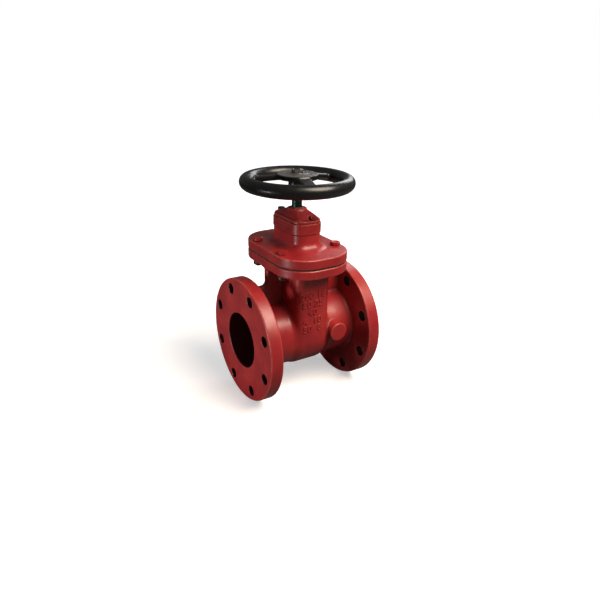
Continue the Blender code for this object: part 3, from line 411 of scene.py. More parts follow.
def seal_plate_form(x, y, z):
    """The seal plate: a thin edge, a hipped ridge, the stem's boss and a spigot below.

    The ridge's crest falls with the square of the way to the plate's ends, and its two sides lean out evenly.
    """
    low = PLATE_LOW[2] + SPIGOT_DEPTH
    edge_top = low + SEAL_PLATE_EDGE
    half_x = NECK_HALF_X - SEAL_PLATE_INSET
    half_y = NECK_HALF_Y - SEAL_PLATE_INSET
    plan = rounded_rectangle(x, y, half_x, half_y, NECK_CORNER - SEAL_PLATE_INSET)
    casting = rounded_both(plan, between(z, low, edge_top), SEAL_PLATE_ROUND)
    crest = BOSS_TOP - CREST_DROP - CREST_FALL * y ** 2
    slope = (np.abs(x) - RIDGE_HALF_X - HIP_SPREAD * (BOSS_TOP - z)) * HIP_COSINE
    ridge = rounded_both(z - crest, slope, RIDGE_ROUND)
    ridge = both(both(ridge, plan + RIDGE_INSET), low + OVERLAP - z)
    casting = joined(casting, ridge, RIDGE_FILLET)
    reach = np.hypot(x, y)
    boss = rounded_both(reach - BOSS_RADIUS, between(z, low + OVERLAP, BOSS_TOP), BOSS_EDGE)
    casting = joined(casting, boss, BOSS_FILLET)
    spigot = both(reach - SPIGOT_RADIUS, between(z, PLATE_LOW[2], low + 2 * OVERLAP))
    casting = np.minimum(casting, spigot)
    casting = without(casting, reach - STEM_BORE_RADIUS, FINE_EDGE)
    seat = both(reach - WIPER_RADIUS - WIPER_ROOM, BOSS_TOP - WIPER_DEPTH - z)
    casting = without(casting, seat, WIPER_SEAT_EDGE)
    spotface = both(seal_bolt_holes(x, y, SPOTFACE_RADIUS), edge_top - z)
    casting = without(casting, spotface, HOLE_EDGE)
    return without(casting, seal_bolt_holes(x, y, SEAL_HOLE_RADIUS), FINE_EDGE)


def spoke_form(x, y, z, angle):
    """One spoke: a rounded bar whose middle falls from hub to rim along a smooth step."""
    out = x * math.cos(angle) + y * math.sin(angle)
    across = y * math.cos(angle) - x * math.sin(angle)
    end = WHEEL_HIGH[0] - RIM_TUBE
    part = np.clip((out - HUB_NECK_RADIUS) / (end - HUB_NECK_RADIUS), 0.0, 1.0)
    start = WHEEL_HIGH[2] - HUB_DISC / 2 - SPOKE_DEPTH / 4
    middle = start + (WHEEL_HIGH[2] - WHEEL_DISH - start) * eased(part, 0.0, 1.0)
    half = SPOKE_ROOT_HALF + (SPOKE_TIP_HALF - SPOKE_ROOT_HALF) * part
    section = rounded_both(np.abs(across) - half, np.abs(z - middle) - SPOKE_DEPTH / 2, SPOKE_EDGE)
    return both(section, between(out, 0.0, end))


def handwheel_form(x, y, z):
    """The handwheel casting: a round rim, three spokes and a hub with a square socket."""
    reach = np.hypot(x, y)
    top = WHEEL_HIGH[2]
    rim = np.hypot(reach - WHEEL_HIGH[0] + RIM_TUBE, z - top + WHEEL_DISH) - RIM_TUBE
    hub = rounded_both(reach - HUB_RADIUS, between(z, top - HUB_DISC, top), HUB_EDGE)
    neck = between(z, WHEEL_LOW[2], top - 2 * OVERLAP)
    neck = rounded_both(reach - HUB_NECK_RADIUS, neck, HUB_NECK_EDGE)
    spokes = spoke_form(x, y, z, FIRST_SPOKE)
    for number in range(1, SPOKES):
        spokes = np.minimum(spokes, spoke_form(x, y, z, FIRST_SPOKE + number * 2 * math.pi / SPOKES))
    casting = joined(hub, neck, WHEEL_FILLET)
    casting = joined(casting, spokes, SPOKE_FILLET)
    casting = joined(casting, rim, WHEEL_FILLET)
    socket = both(np.abs(x) - SQUARE_HALF, np.abs(y) - SQUARE_HALF)
    return without(casting, socket, FINE_EDGE)


def read_points(mesh):
    """The mesh's points as an array, in the mesh's own unit."""
    flat = np.empty(len(mesh.vertices) * 3, dtype=np.float32)
    mesh.vertices.foreach_get("co", flat)
    return flat.reshape(-1, 3).astype(float)


def write_points(mesh, points):
    """Points in millimetres put into a mesh, which is in metres."""
    mesh.vertices.foreach_set("co", (points * MM).astype(np.float32).ravel())
    mesh.update()


def mesh_from(name, points, faces):
    """A smooth mesh from arrays of points in millimetres and of four-sided faces."""
    mesh = bpy.data.meshes.new(name)
    mesh.vertices.add(len(points))
    mesh.vertices.foreach_set("co", (points * MM).astype(np.float32).ravel())
    mesh.loops.add(faces.size)
    mesh.loops.foreach_set("vertex_index", faces.astype(np.int32).ravel())
    mesh.polygons.add(len(faces))
    starts = np.arange(0, faces.size, faces.shape[1], dtype=np.int32)
    mesh.polygons.foreach_set("loop_start", starts)
    mesh.polygons.foreach_set("use_smooth", np.ones(len(faces), dtype=bool))
    mesh.update(calc_edges=True)
    mesh.validate()
    return mesh


def applied(item):
    """The mesh that an object comes to with its modifiers; the object itself goes."""
    bpy.context.scene.collection.objects.link(item)
    graph = bpy.context.evaluated_depsgraph_get()
    mesh = bpy.data.meshes.new_from_object(item.evaluated_get(graph))
    bpy.data.objects.remove(item, do_unlink=True)
    return mesh


def merged(mesh, gap):
    """Points closer than the gap, in metres, become one, and every face turns outwards."""
    work = bmesh.new()
    work.from_mesh(mesh)
    bmesh.ops.remove_doubles(work, verts=work.verts, dist=gap)
    bmesh.ops.recalc_face_normals(work, faces=work.faces)
    work.to_mesh(mesh)
    work.free()


def slope_of(form, points):
    """A form's steepest slope at each point, from differences to either side."""
    step = 0.05
    slope = np.empty_like(points)
    for axis in range(3):
        ahead = points.copy()
        behind = points.copy()
        ahead[:, axis] += step
        behind[:, axis] -= step
        slope[:, axis] = (form(*ahead.T) - form(*behind.T)) / (2 * step)
    return slope


def settle(form, points, reach, rounds=4):
    """Points moved along the slope to where the form's distance is zero."""
    for _ in range(rounds):
        slope = slope_of(form, points)
        steep = np.maximum((slope ** 2).sum(1), 0.05)
        move = slope * (form(*points.T) / steep)[:, None]
        far = np.linalg.norm(move, axis=1)
        move *= np.minimum(1.0, reach / np.maximum(far, 1e-9))[:, None]
        points = points - move
    return points


def cast_surface(form, low, high, cell):
    """The surface where a form's distance is zero.

    The distance is read on a grid of cubes. Each cube that the surface crosses gets one point, the mean
    of where the surface cuts the cube's edges. Each cut grid edge gets the face between its four cubes.
    """
    axes = [np.arange(a - 1.5 * cell, b + 2.0 * cell, cell) for a, b in zip(low, high)]
    origin = np.array([axis[0] for axis in axes])
    grid = np.meshgrid(*axes, indexing="ij")
    value = form(*grid)
    inside = value < 0.0
    shape = np.array(value.shape) - 1

    def corner(array, offset):
        window = tuple(slice(o, o + n) for o, n in zip(offset, shape))
        return array[window]

    offsets = [(i, j, k) for i in (0, 1) for j in (0, 1) for k in (0, 1)]
    full = sum(corner(inside, offset).astype(np.int8) for offset in offsets)
    crossed = (full > 0) & (full < 8)
    cubes = np.argwhere(crossed)
    number = np.full(crossed.shape, -1, dtype=np.int64)
    number[crossed] = np.arange(len(cubes))

    total = np.zeros((len(cubes), 3))
    count = np.zeros(len(cubes))
    for axis in range(3):
        for offset in offsets:
            if offset[axis]:
                continue
            far = list(offset)
            far[axis] = 1
            a = corner(value, offset)[crossed]
            b = corner(value, far)[crossed]
            cut = (a < 0.0) != (b < 0.0)
            share = np.where(cut, a / np.where(cut, a - b, 1.0), 0.0)
            place = np.tile(np.array(offset, dtype=float), (len(cubes), 1))
            place[:, axis] += share
            total += place * cut[:, None]
            count += cut
    points = origin + (cubes + total / count[:, None]) * cell

    faces = []
    for axis in range(3):
        u, v = [other for other in range(3) if other != axis]
        near = [slice(1, -1)] * 3
        ahead = [slice(1, -1)] * 3
        near[axis] = slice(0, -1)
        ahead[axis] = slice(1, None)
        first = inside[tuple(near)]
        second = inside[tuple(ahead)]
        for solid_first in (True, False):
            edges = np.argwhere(first & ~second if solid_first else second & ~first)
            shift = np.ones(3, dtype=int)
            shift[axis] = 0
            edges = edges + shift
            ring = []
            for du, dv in ((0, 0), (-1, 0), (-1, -1), (0, -1)):
                cube = edges.copy()
                cube[:, u] += du
                cube[:, v] += dv
                ring.append(number[cube[:, 0], cube[:, 1], cube[:, 2]])
            ring = np.stack(ring, 1)
            turn = solid_first == (axis != 1)
            faces.append(ring if turn else ring[:, ::-1])
    return settle(form, points, 0.7 * cell), np.concatenate(faces)


def thinned(mesh, ratio):
    """The mesh with flat places in fewer faces."""
    item = bpy.data.objects.new("thinning", mesh)
    item.modifiers.new("thin", "DECIMATE").ratio = ratio
    return applied(item)


def bend_of(form, points, step=1.6):
    """How a form bends at each point, from its six neighbours: above 0 on edges, below 0 in corners."""
    total = -6.0 * form(*points.T)
    for axis in range(3):
        for side in (-step, step):
            moved = points.copy()
            moved[:, axis] += side
            total += form(*moved.T)
    return total / step ** 2


def mark(mesh, name, values):
    """A number for every point of the mesh, which its finish reads."""
    layer = mesh.attributes.new(name, "FLOAT", "POINT")
    layer.data.foreach_set("value", np.asarray(values, dtype=np.float32))


def casting(name, form, low, high, cell, ratio, material, body, replaced, marks=None):
    """A casting worked out from its form, thinned, with the form's own slopes as its normals."""
    points, faces = cast_surface(form, low, high, cell)
    mesh = thinned(mesh_from(name, points, faces), ratio)
    points = settle(form, read_points(mesh) / MM, 0.3, 2)
    write_points(mesh, points)
    mesh.shade_smooth()
    slope = slope_of(form, points)
    slope /= np.maximum(np.linalg.norm(slope, axis=1), 1e-6)[:, None]
    mesh.normals_split_custom_set_from_vertices(slope.astype(np.float32))
    bend = bend_of(form, points)
    # Convex edges: paler from wear and from a painted highlight
    mark(mesh, "edge_wear_and_highlight", eased(bend, *EDGE_WEAR_AND_HIGHLIGHT_BEND))
    # Concave corners: darker from dirt and from painted shade
    mark(mesh, "crease_shade_and_dirt", eased(-bend, *CREASE_SHADE_AND_DIRT_BEND))
    for mark_name, values in (marks(points) if marks else {}).items():
        mark(mesh, mark_name, values)
    piece(name, mesh, material, body, replaced)


def piece(name, mesh, material, body, replaced=()):
    """An object at the origin that rides on a body and stands for the named nodes."""
    mesh.name = name
    mesh.materials.clear()
    mesh.materials.append(material)
    item = bpy.data.objects.new(name, mesh)
    bpy.context.scene.collection.objects.link(item)
    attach(item, body)
    if replaced:
        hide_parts(*replaced)


def grid_faces(count, columns, closed):
    """Four-sided faces between rows of points round an axis; a closed one joins last row to first."""
    i = np.arange(count if closed else count - 1)[:, None]
    j = np.arange(columns)[None, :]
    below = (i + 1) % count
    beside = (j + 1) % columns
    a = i * columns + j
    b = i * columns + beside
    c = below * columns + beside
    d = below * columns + j
    return np.stack([a, b, c, d], -1).reshape(-1, 4)


# Small parts: rows of points round an upright axis; a row's radius and height may vary with the turn
TURN = np.linspace(0.0, 2 * math.pi, 48, endpoint=False)


def rows(*pairs):
    """Rows from (radius, height) pairs, stacked into one array of radii and one of heights."""
    radius = np.vstack([np.broadcast_to(pair[0], TURN.shape) for pair in pairs])
    height = np.vstack([np.broadcast_to(pair[1], TURN.shape) for pair in pairs])
    return radius, height


def stacked(*parts):
    """Several stacks of rows, one after the other."""
    return np.vstack([part[0] for part in parts]), np.vstack([part[1] for part in parts])


def hexagon(flat):
    """A hexagon's radius at each turn: half its width over the cosine of the turn from the nearest flat."""
    side = math.pi / 3
    return flat / np.cos(np.mod(TURN + side / 2, side) - side / 2)


def square(half, round_radius):
    """Radius of a square at each turn, its corners cut by a circle."""
    side = math.pi / 2
    return np.minimum(half / np.cos(np.mod(TURN + side / 2, side) - side / 2), round_radius)


def hex_sides(flat, corner, low, high, cut_bottom=True):
    """Rows down a hexagon's sides: a cone of 30 degrees cuts its corners where an end is chamfered."""
    side = np.minimum(hexagon(flat), corner)
    circle = 0.955 * flat
    fall = (side - circle) * math.tan(math.radians(30.0))
    bottom = [(side, low + fall), (circle, low)]
    if not cut_bottom:
        bottom = [(side, low + 0.3), (side - 0.3, low)]
    return rows((circle, high), (side, high - fall), *bottom)


def thread(radius, depth, pitch, low, high, hand=1.0, land=0.12):
    """Rows down a thread, ten to a pitch: its flanks climb one pitch a turn and fall by the depth."""
    count = max(4, int(round((high - low) / pitch * 10)))
    height = np.linspace(high, low, count)[:, None] + 0.0 * TURN
    phase = np.mod(height / pitch - hand * TURN / (2 * math.pi), 1.0)
    flank = np.clip((np.abs(phase - 0.5) * 2.0 - land) / (1.0 - 2 * land), 0.0, 1.0)
    runout = eased(height, high, high - pitch / 2)
    return radius - depth * flank * runout, height


def small_part(name, stack, material, body, replaced, centre=(0.0, 0.0), closed=False, sharp=32.0):
    """A part from its rows, round an upright axis at the centre; a closed one is a ring."""
    radius, height = stack
    x = radius * np.cos(TURN) + centre[0]
    y = radius * np.sin(TURN) + centre[1]
    points = np.stack([x, y, height], -1).reshape(-1, 3)
    mesh = mesh_from(name, points, grid_faces(len(radius), len(TURN), closed))
    merged(mesh, 1e-7)
    mesh.set_sharp_from_angle(angle=math.radians(sharp))
    piece(name, mesh, material, body, [replaced])


def upright_place(node):
    """A small part's foot and top, its half widths along X and Y, and its centre.

    On a bolt or nut the half widths are those across the flats and across the corners.
    """
    low, high = corners(node)
    half_x, half_y, _ = (high - low) / 2
    centre_x, centre_y, _ = (low + high) / 2
    return low[2], high[2], half_x, half_y, (centre_x, centre_y)


def hex_bolt(node, material, head_height, shank, pitch, threaded):
    """A bolt in its node's place: dished hexagon head, washer face, shank and threaded end."""
    foot, top, flat, corner, centre = upright_place(node)
    seat = top - head_height
    dish = top - 0.25
    face = seat + 0.35
    face_radius = 0.93 * flat
    head = stacked(
        rows((0.0, dish), (0.6 * flat, dish), (0.72 * flat, top)),
        hex_sides(flat, corner, face, top, cut_bottom=False),
        rows((face_radius, face), (face_radius, seat), (shank + 0.2, seat), (shank, seat - 0.4)),
    )
    end = foot + pitch / 2
    depth = 0.6 * pitch
    plain = rows((shank, end + threaded + 0.3))
    tip = rows((shank - depth, foot + 0.1), (shank - depth - 0.3, foot), (0.0, foot))
    stack = stacked(head, plain, thread(shank, depth, pitch, end, end + threaded), tip)
    small_part(f"{node}_hex", stack, material, "valve", node, centre)


def hex_nut(node, material, body, bore, cut_bottom=True):
    """A nut in its node's place: hexagon with chamfered faces and a countersunk bore."""
    foot, top, flat, corner, centre = upright_place(node)
    sink = 0.7
    stack = stacked(
        rows((bore, top - sink), (bore + sink, top)),
        hex_sides(flat, corner, foot, top, cut_bottom=cut_bottom),
        rows((bore + sink, foot), (bore, foot + sink)),
    )
    small_part(f"{node}_hex", stack, material, body, node, centre, closed=True)


def plain_washer(node, material, body, bore):
    """A stamped washer: one edge rolled over, the other with a small burr."""
    foot, top, outer, _, _ = upright_place(node)
    stack = rows(
        (bore, foot + 0.15), (bore, top - 0.2), (bore + 0.2, top), (outer - 0.45, top),
        (outer - 0.12, top - 0.13), (outer, top - 0.4), (outer, foot + 0.1), (outer - 0.1, foot),
        (bore + 0.15, foot),
    )
    small_part(f"{node}_disc", stack, material, body, node, closed=True)


def wiper_ring():
    """The stem's dust wiper: a rubber ring in the boss with a lip that leans in to the stem."""
    foot, top, outer, _, _ = upright_place("stem_wiper")
    inner = 9.35
    stack = rows(
        (inner, foot + 0.3), (inner + 0.25, foot), (outer - 0.4, foot), (outer, foot + 0.4),
        (outer, BOSS_TOP - 0.3), (outer - 0.5, BOSS_TOP + 0.1), (inner + 3.05, BOSS_TOP + 0.25),
        (inner + 1.85, top - 0.2), (inner + 1.25, top), (inner + 0.45, top), (inner, top - 0.35),
        (inner + 0.55, top - 1.6),
    )
    small_part("stem_wiper_lip", stack, RED_RUBBER, "valve", "stem_wiper", closed=True)


def stem_forging():
    """The stem from its tip down: thread, wheel square, shaft, thrust collar and left-hand lifting thread."""
    low, high = corners("stem")
    collar = high[0]
    collar_foot = corners("thrust_washer_lower")[1][2] + 0.3
    collar_top = corners("thrust_washer_upper")[0][2] - 0.3
    thread_top = collar_foot - 0.3 - THREAD_START
    seat = WHEEL_HIGH[2] - 0.5
    square_foot = WHEEL_LOW[2] + 1.0
    flats = square(SHAFT_SQUARE_HALF, SHAFT_RADIUS)
    upper = rows((0.0, high[2]), (TIP_RADIUS - 1.1, high[2]), (TIP_RADIUS - 0.5, high[2] - 0.5))
    tip = thread(TIP_RADIUS, TIP_DEPTH, TIP_PITCH, seat + 0.4, high[2] - 0.7)
    shaft = rows(
        (TIP_GROOVE_RADIUS, seat + 0.3), (TIP_GROOVE_RADIUS, seat), (flats - 0.5, seat),
        (flats, seat - 0.5), (flats, square_foot + 1.2), (SHAFT_RADIUS, square_foot),
        (SHAFT_RADIUS, RIM_TOP), (SHAFT_RADIUS, collar_top - COLLAR_ROUND),
        (SHAFT_RADIUS + COLLAR_ROUND, collar_top), (collar - COLLAR_ROUND, collar_top),
        (collar, collar_top - COLLAR_ROUND), (collar, collar_foot + COLLAR_ROUND),
        (collar - COLLAR_ROUND, collar_foot), (THREAD_RADIUS, collar_foot), (THREAD_RADIUS, thread_top),
    )
    lifting = thread(
        THREAD_RADIUS, THREAD_DEPTH, THREAD_LEAD, low[2] + 2.0, thread_top - 0.5, hand=-1.0,
        land=THREAD_LAND,
    )
    foot = rows((7.6, low[2] + 1.5), (6.6, low[2] + 0.4), (6.0, low[2]), (0.0, low[2]))
    small_part("stem_forging", stacked(upper, tip, shaft, lifting, foot), STEM_STEEL, "stem", "stem")


def raised_numbers():
    """Plain numbers cast on the chamber's front.

    They lie on its wall, which is flat above the pipe's axis and follows an ellipse below it.
    """
    curve = bpy.data.curves.new("chamber_numbers", "FONT")
    curve.body = "200 16\n80 25\n40\n4  10\n50  8"
    curve.align_x = "CENTER"
    curve.size = NUMBERS_SIZE
    curve.space_line = 0.95
    curve.extrude = 1.0
    curve.bevel_depth = 0.5
    curve.bevel_resolution = 1
    curve.resolution_u = 4
    mesh = applied(bpy.data.objects.new("chamber_numbers_source", curve))
    across, up, out = read_points(mesh).T
    z = up + NUMBERS_TOP
    wall = CHAMBER_HALF_Y * np.sqrt(np.clip(1.0 - (np.minimum(z, 0.0) / CHAMBER_DEPTH) ** 2, 0.0, 1.0))
    x = across * NUMBERS_STRETCH + NUMBERS_X
    write_points(mesh, np.stack([x, -wall - out + NUMBERS_SUNK, z], -1))
    merged(mesh, 1e-6)
    piece("chamber_numbers", mesh, RED, "valve")


# Materials

class Nodes:
    """Short calls for the nodes of one material."""

    def __init__(self, name, colour, roughness, metallic=0.0):
        self.material = bpy.data.materials.new(name)
        self.material.use_nodes = True
        self.tree = self.material.node_tree
        self.shader = self.tree.nodes["Principled BSDF"]
        self.shader.inputs["Base Color"].default_value = (*colour, 1.0)
        self.shader.inputs["Roughness"].default_value = roughness
        self.shader.inputs["Metallic"].default_value = metallic
        self.material.diffuse_color = (*colour, 1.0)
        self.place = self.tree.nodes.new("ShaderNodeTexCoord").outputs["Object"]

    def link(self, start, end):
        """A wire from one socket to another."""
        self.tree.links.new(start, end)

    def noise(self, scale, detail=3.0, roughness=0.5):
        """Noise on Object coordinates; the scale is in repeats to the metre."""
        node = self.tree.nodes.new("ShaderNodeTexNoise")
        node.inputs["Scale"].default_value = scale
        node.inputs["Detail"].default_value = detail
        node.inputs["Roughness"].default_value = roughness
        self.link(self.place, node.inputs["Vector"])
        return node.outputs["Fac"]

    def ramp(self, factor, stops):
        """A colour ramp through the given (position, colour) stops."""
        node = self.tree.nodes.new("ShaderNodeValToRGB")
        elements = node.color_ramp.elements
        while len(elements) < len(stops):
            elements.new(0.5)
        for element, (position, colour) in zip(elements, stops):
            element.position = position
            element.color = (*colour, 1.0)
        self.link(factor, node.inputs["Fac"])
        return node.outputs["Color"]

    def span(self, factor, low, high):
        """Noise, which mostly lies between 0.3 and 0.7, spread over a range."""
        node = self.tree.nodes.new("ShaderNodeMapRange")
        node.inputs["From Min"].default_value = 0.3
        node.inputs["From Max"].default_value = 0.7
        node.inputs["To Min"].default_value = low
        node.inputs["To Max"].default_value = high
        self.link(factor, node.inputs["Value"])
        return node.outputs["Result"]

    def mark(self, name):
        """The number that the piece's points carry under this name; 0 where it has none."""
        node = self.tree.nodes.new("ShaderNodeAttribute")
        node.attribute_name = name
        return node.outputs["Fac"]

    def math(self, operation, first, second=0.0):
        """A sum, product or other plain operation on two numbers or sockets."""
        node = self.tree.nodes.new("ShaderNodeMath")
        node.operation = operation
        for socket, value in zip(node.inputs, (first, second)):
            if isinstance(value, (int, float)):
                socket.default_value = value
            else:
                self.link(value, socket)
        return node.outputs[0]

    def mixed(self, factor, first, second):
        """The first colour giving way to the second as the factor goes to 1."""
        node = self.tree.nodes.new("ShaderNodeMix")
        node.data_type = "RGBA"
        self.link(factor, node.inputs[0])
        for socket, value in zip((node.inputs[6], node.inputs[7]), (first, second)):
            if isinstance(value, tuple):
                socket.default_value = (*value, 1.0)
            else:
                self.link(value, socket)
        return node.outputs[2]

    def rings(self, axis, pitch):
        """Turning marks: a sine of the distance from an axis through the origin."""
        flat = self.tree.nodes.new("ShaderNodeVectorMath")
        flat.operation = "MULTIPLY"
        flat.inputs[1].default_value = [0.0 if i == axis else 1.0 for i in range(3)]
        self.link(self.place, flat.inputs[0])
        length = self.tree.nodes.new("ShaderNodeVectorMath")
        length.operation = "LENGTH"
        self.link(flat.outputs[0], length.inputs[0])
        wave = self.math("SINE", self.math("MULTIPLY", length.outputs["Value"], 2 * math.pi / pitch))
        return self.math("MULTIPLY_ADD", wave, 0.5)

    def bump(self, height, depth, strength=1.0, under=None):
        """A bump whose full height is the depth in metres, laid over another bump."""
        node = self.tree.nodes.new("ShaderNodeBump")
        node.inputs["Strength"].default_value = strength
        node.inputs["Distance"].default_value = depth
        self.link(height, node.inputs["Height"])
        if under is not None:
            self.link(under, node.inputs["Normal"])
        self.link(node.outputs["Normal"], self.shader.inputs["Normal"])
        return node.outputs["Normal"]


def cast_enamel(
    name, dark, plain, pale, edge, crease_shade_and_dirt_colour, roughness, grain=0.00010, wave=0.0009, coat=0.12
):
    """Enamel over a sand casting.

    Broad waves and fine grain lie under the paint and its colour is a little uneven. Edges are paler, partly
    worn thin paint and partly a painted highlight; corners are darker, partly dirt and partly painted shade;
    hollows are darkened as painted shade; and machined faces show turning marks through it.
    """
    nodes = Nodes(name, plain, roughness)
    patch = nodes.noise(18.0, 4.0)
    colour = nodes.ramp(patch, [(0.30, dark), (0.5, plain), (0.72, pale)])
    # Concave corners darken: painted shade, with rougher dirt
    crease_shade_and_dirt_amount = nodes.math("MULTIPLY", nodes.mark("crease_shade_and_dirt"), nodes.span(nodes.noise(55.0), 0.35, 0.95))
    colour = nodes.mixed(crease_shade_and_dirt_amount, colour, crease_shade_and_dirt_colour)
    # Convex edges turn paler and more orange: partly worn thin paint, partly a painted highlight
    edge_wear_and_highlight_amount = nodes.math("MULTIPLY", nodes.mark("edge_wear_and_highlight"), nodes.span(nodes.noise(240.0, 4.0), 0.0, 0.8))
    colour = nodes.mixed(edge_wear_and_highlight_amount, colour, edge)
    # Bore, cavity and bolt holes are darkened as painted shade
    colour = nodes.mixed(nodes.mark("inside"), colour, tuple(c * 0.15 for c in plain))
    bare = nodes.mark("bare")
    colour = nodes.mixed(bare, colour, (0.19, 0.19, 0.19))
    nodes.link(colour, nodes.shader.inputs["Base Color"])
    gloss = nodes.span(nodes.noise(90.0), roughness - 0.04, roughness + 0.08)
    gloss = nodes.math("ADD", gloss, nodes.math("MULTIPLY", crease_shade_and_dirt_amount, 0.25))
    nodes.link(gloss, nodes.shader.inputs["Roughness"])
    nodes.link(nodes.math("MULTIPLY", bare, 0.8), nodes.shader.inputs["Metallic"])
    waves = nodes.bump(nodes.noise(46.0, 2.0), wave, 0.45)
    cast = nodes.bump(nodes.noise(620.0, 3.0), grain, 0.6, waves)
    turned_face = nodes.math("MULTIPLY", nodes.rings(0, 0.0034), nodes.mark("machined"))
    faced = nodes.bump(turned_face, 0.00012, 0.7, cast)
    nodes.bump(nodes.math("MULTIPLY", nodes.rings(2, 0.0021), bare), 0.0002, 0.7, faced)
    nodes.shader.inputs["Specular IOR Level"].default_value = 0.4
    nodes.shader.inputs["Coat Weight"].default_value = coat
    nodes.shader.inputs["Coat Roughness"].default_value = 0.2
    return nodes.material


def worn_metal(name, colour, roughness, grain=900.0, depth=0.00006):
    """Bare or plated metal with fine grain and uneven polish."""
    nodes = Nodes(name, colour, roughness, 0.9)
    pale = tuple(min(1.0, c * 1.35) for c in colour)
    dark = tuple(c * 0.65 for c in colour)
    shade = nodes.ramp(nodes.noise(140.0, 4.0), [(0.3, dark), (0.5, colour), (0.75, pale)])
    nodes.link(shade, nodes.shader.inputs["Base Color"])
    nodes.link(
        nodes.span(nodes.noise(260.0), roughness - 0.08, roughness + 0.12),
        nodes.shader.inputs["Roughness"],
    )
    nodes.bump(nodes.noise(grain, 2.0), depth, 0.6)
    return nodes.material


def soft_rubber(name, colour):
    """Matt rubber with a fine moulded grain."""
    nodes = Nodes(name, colour, 0.72)
    pale = tuple(c * 1.8 for c in colour)
    shade = nodes.ramp(nodes.noise(70.0, 3.0), [(0.35, colour), (0.75, pale)])
    nodes.link(shade, nodes.shader.inputs["Base Color"])
    nodes.bump(nodes.noise(1400.0, 2.0), 0.00008, 0.5)
    return nodes.material


RED = cast_enamel(
    "red_enamel", (0.22, 0.011, 0.014), (0.29, 0.015, 0.018), (0.36, 0.027, 0.024), (0.50, 0.11, 0.07),
    (0.040, 0.005, 0.006), 0.36,
)
BLACK = cast_enamel(
    "black_enamel", (0.0035, 0.0035, 0.004), (0.005, 0.0055, 0.006), (0.008, 0.0085, 0.009),
    (0.020, 0.021, 0.022), (0.003, 0.003, 0.003), 0.30, grain=0.00002, wave=0.00025, coat=0.1,
)
PAINTED = cast_enamel(
    "painted_bolt", (0.20, 0.011, 0.013), (0.27, 0.014, 0.016), (0.34, 0.025, 0.023), (0.5, 0.1, 0.06),
    (0.08, 0.01, 0.01), 0.38,
)
DARK_STEEL = worn_metal("dark_steel", (0.055, 0.050, 0.045), 0.42)
STEM_STEEL = worn_metal("stem_steel", (0.014, 0.046, 0.032), 0.34)
BRONZE = worn_metal("bronze", (0.45, 0.27, 0.10), 0.35)
RUBBER = soft_rubber("black_rubber", (0.012, 0.012, 0.012))
RED_RUBBER = soft_rubber("red_rubber", (0.10, 0.009, 0.011))
IRON = cast_enamel(
    "cast_iron", (0.05, 0.05, 0.05), (0.08, 0.08, 0.08), (0.12, 0.12, 0.12), (0.16, 0.16, 0.16),
    (0.04, 0.035, 0.03), 0.6, coat=0.0,
)
NYLON = soft_rubber("nylon", (0.55, 0.53, 0.46))
SILVER = worn_metal("zinc_plate", (0.24, 0.24, 0.235), 0.36)

NODE_MATERIALS = {
    RED: ["body", "bonnet", "seal_plate"],
    BLACK: ["handwheel"],
    PAINTED: [f"bonnet_bolt_{i}" for i in (1, 2, 3, 4)] + ["seal_plate_bolt_1"],
    DARK_STEEL: [f"bonnet_nut_{i}" for i in (1, 2, 3, 4)] + ["seal_plate_bolt_2"],
    SILVER: ["handwheel_washer", "handwheel_nut"],
    STEM_STEEL: ["stem"],
    BRONZE: ["thrust_washer_lower", "thrust_washer_upper", "stem_nut"],
    RED_RUBBER: ["stem_wiper"],
    RUBBER: ["bonnet_gasket", "seal_plate_gasket", "wedge_rubber", "stem_o_ring_1", "stem_o_ring_2"],
    IRON: ["wedge_core"],
    NYLON: ["guide_shoe_front", "guide_shoe_back"],
}


def dress_nodes():
    """Every node of the frame gets its finish."""
    for material, names in NODE_MATERIALS.items():
        for name in names:
            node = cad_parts[name]
            node.data.materials.clear()
            node.data.materials.append(material)


def make_castings():
    """Body, bonnet, seal plate and handwheel."""
    casting(
        "body_casting", body_form, BODY_LOW, BODY_HIGH, BODY_CELL, 0.5, RED, "valve", ["body"],
        body_marks,
    )
    casting(
        "bonnet_casting", bonnet_form, BONNET_LOW, BONNET_HIGH, FINE_CELL, 0.5, RED, "valve",
        ["bonnet"],
    )
    casting(
        "seal_plate_casting", seal_plate_form, PLATE_LOW, PLATE_HIGH, PLATE_CELL, 0.6, RED, "valve",
        ["seal_plate"],
    )
    casting(
        "handwheel_casting", handwheel_form, WHEEL_LOW, WHEEL_HIGH, FINE_CELL, 0.6, BLACK, "stem",
        ["handwheel"], wheel_marks,
    )


def make_small_parts():
    """Bolts, nuts, washer, stem and wiper."""
    for number in (1, 2, 3, 4):
        hex_bolt(f"bonnet_bolt_{number}", PAINTED, JOINT_HEAD, BOLT_RADIUS, BOLT_PITCH, BOLT_THREADED)
        hex_nut(f"bonnet_nut_{number}", DARK_STEEL, "valve", NUT_BORE_RADIUS)
    for number, material in ((1, PAINTED), (2, DARK_STEEL)):
        hex_bolt(
            f"seal_plate_bolt_{number}", material, SEAL_HEAD, SEAL_BOLT_RADIUS, SEAL_BOLT_PITCH,
            SEAL_BOLT_THREADED,
        )
    hex_nut("handwheel_nut", SILVER, "stem", NUT_BORE_RADIUS, cut_bottom=False)
    plain_washer("handwheel_washer", SILVER, "stem", WASHER_BORE_RADIUS)
    stem_forging()
    wiper_ring()


# Camera solved from the photograph: turns in degrees, lengths in millimetres
CAMERA_YAW = math.radians(-32.28)
CAMERA_PITCH = math.radians(23.641)
CAMERA_ROLL = math.radians(1.183)
CAMERA_DISTANCE = 1040.235
CAMERA_OFFSET = (-9.85, -50.158)
FOCAL_PIXELS = 542.046
PHOTO_PIXELS = 600


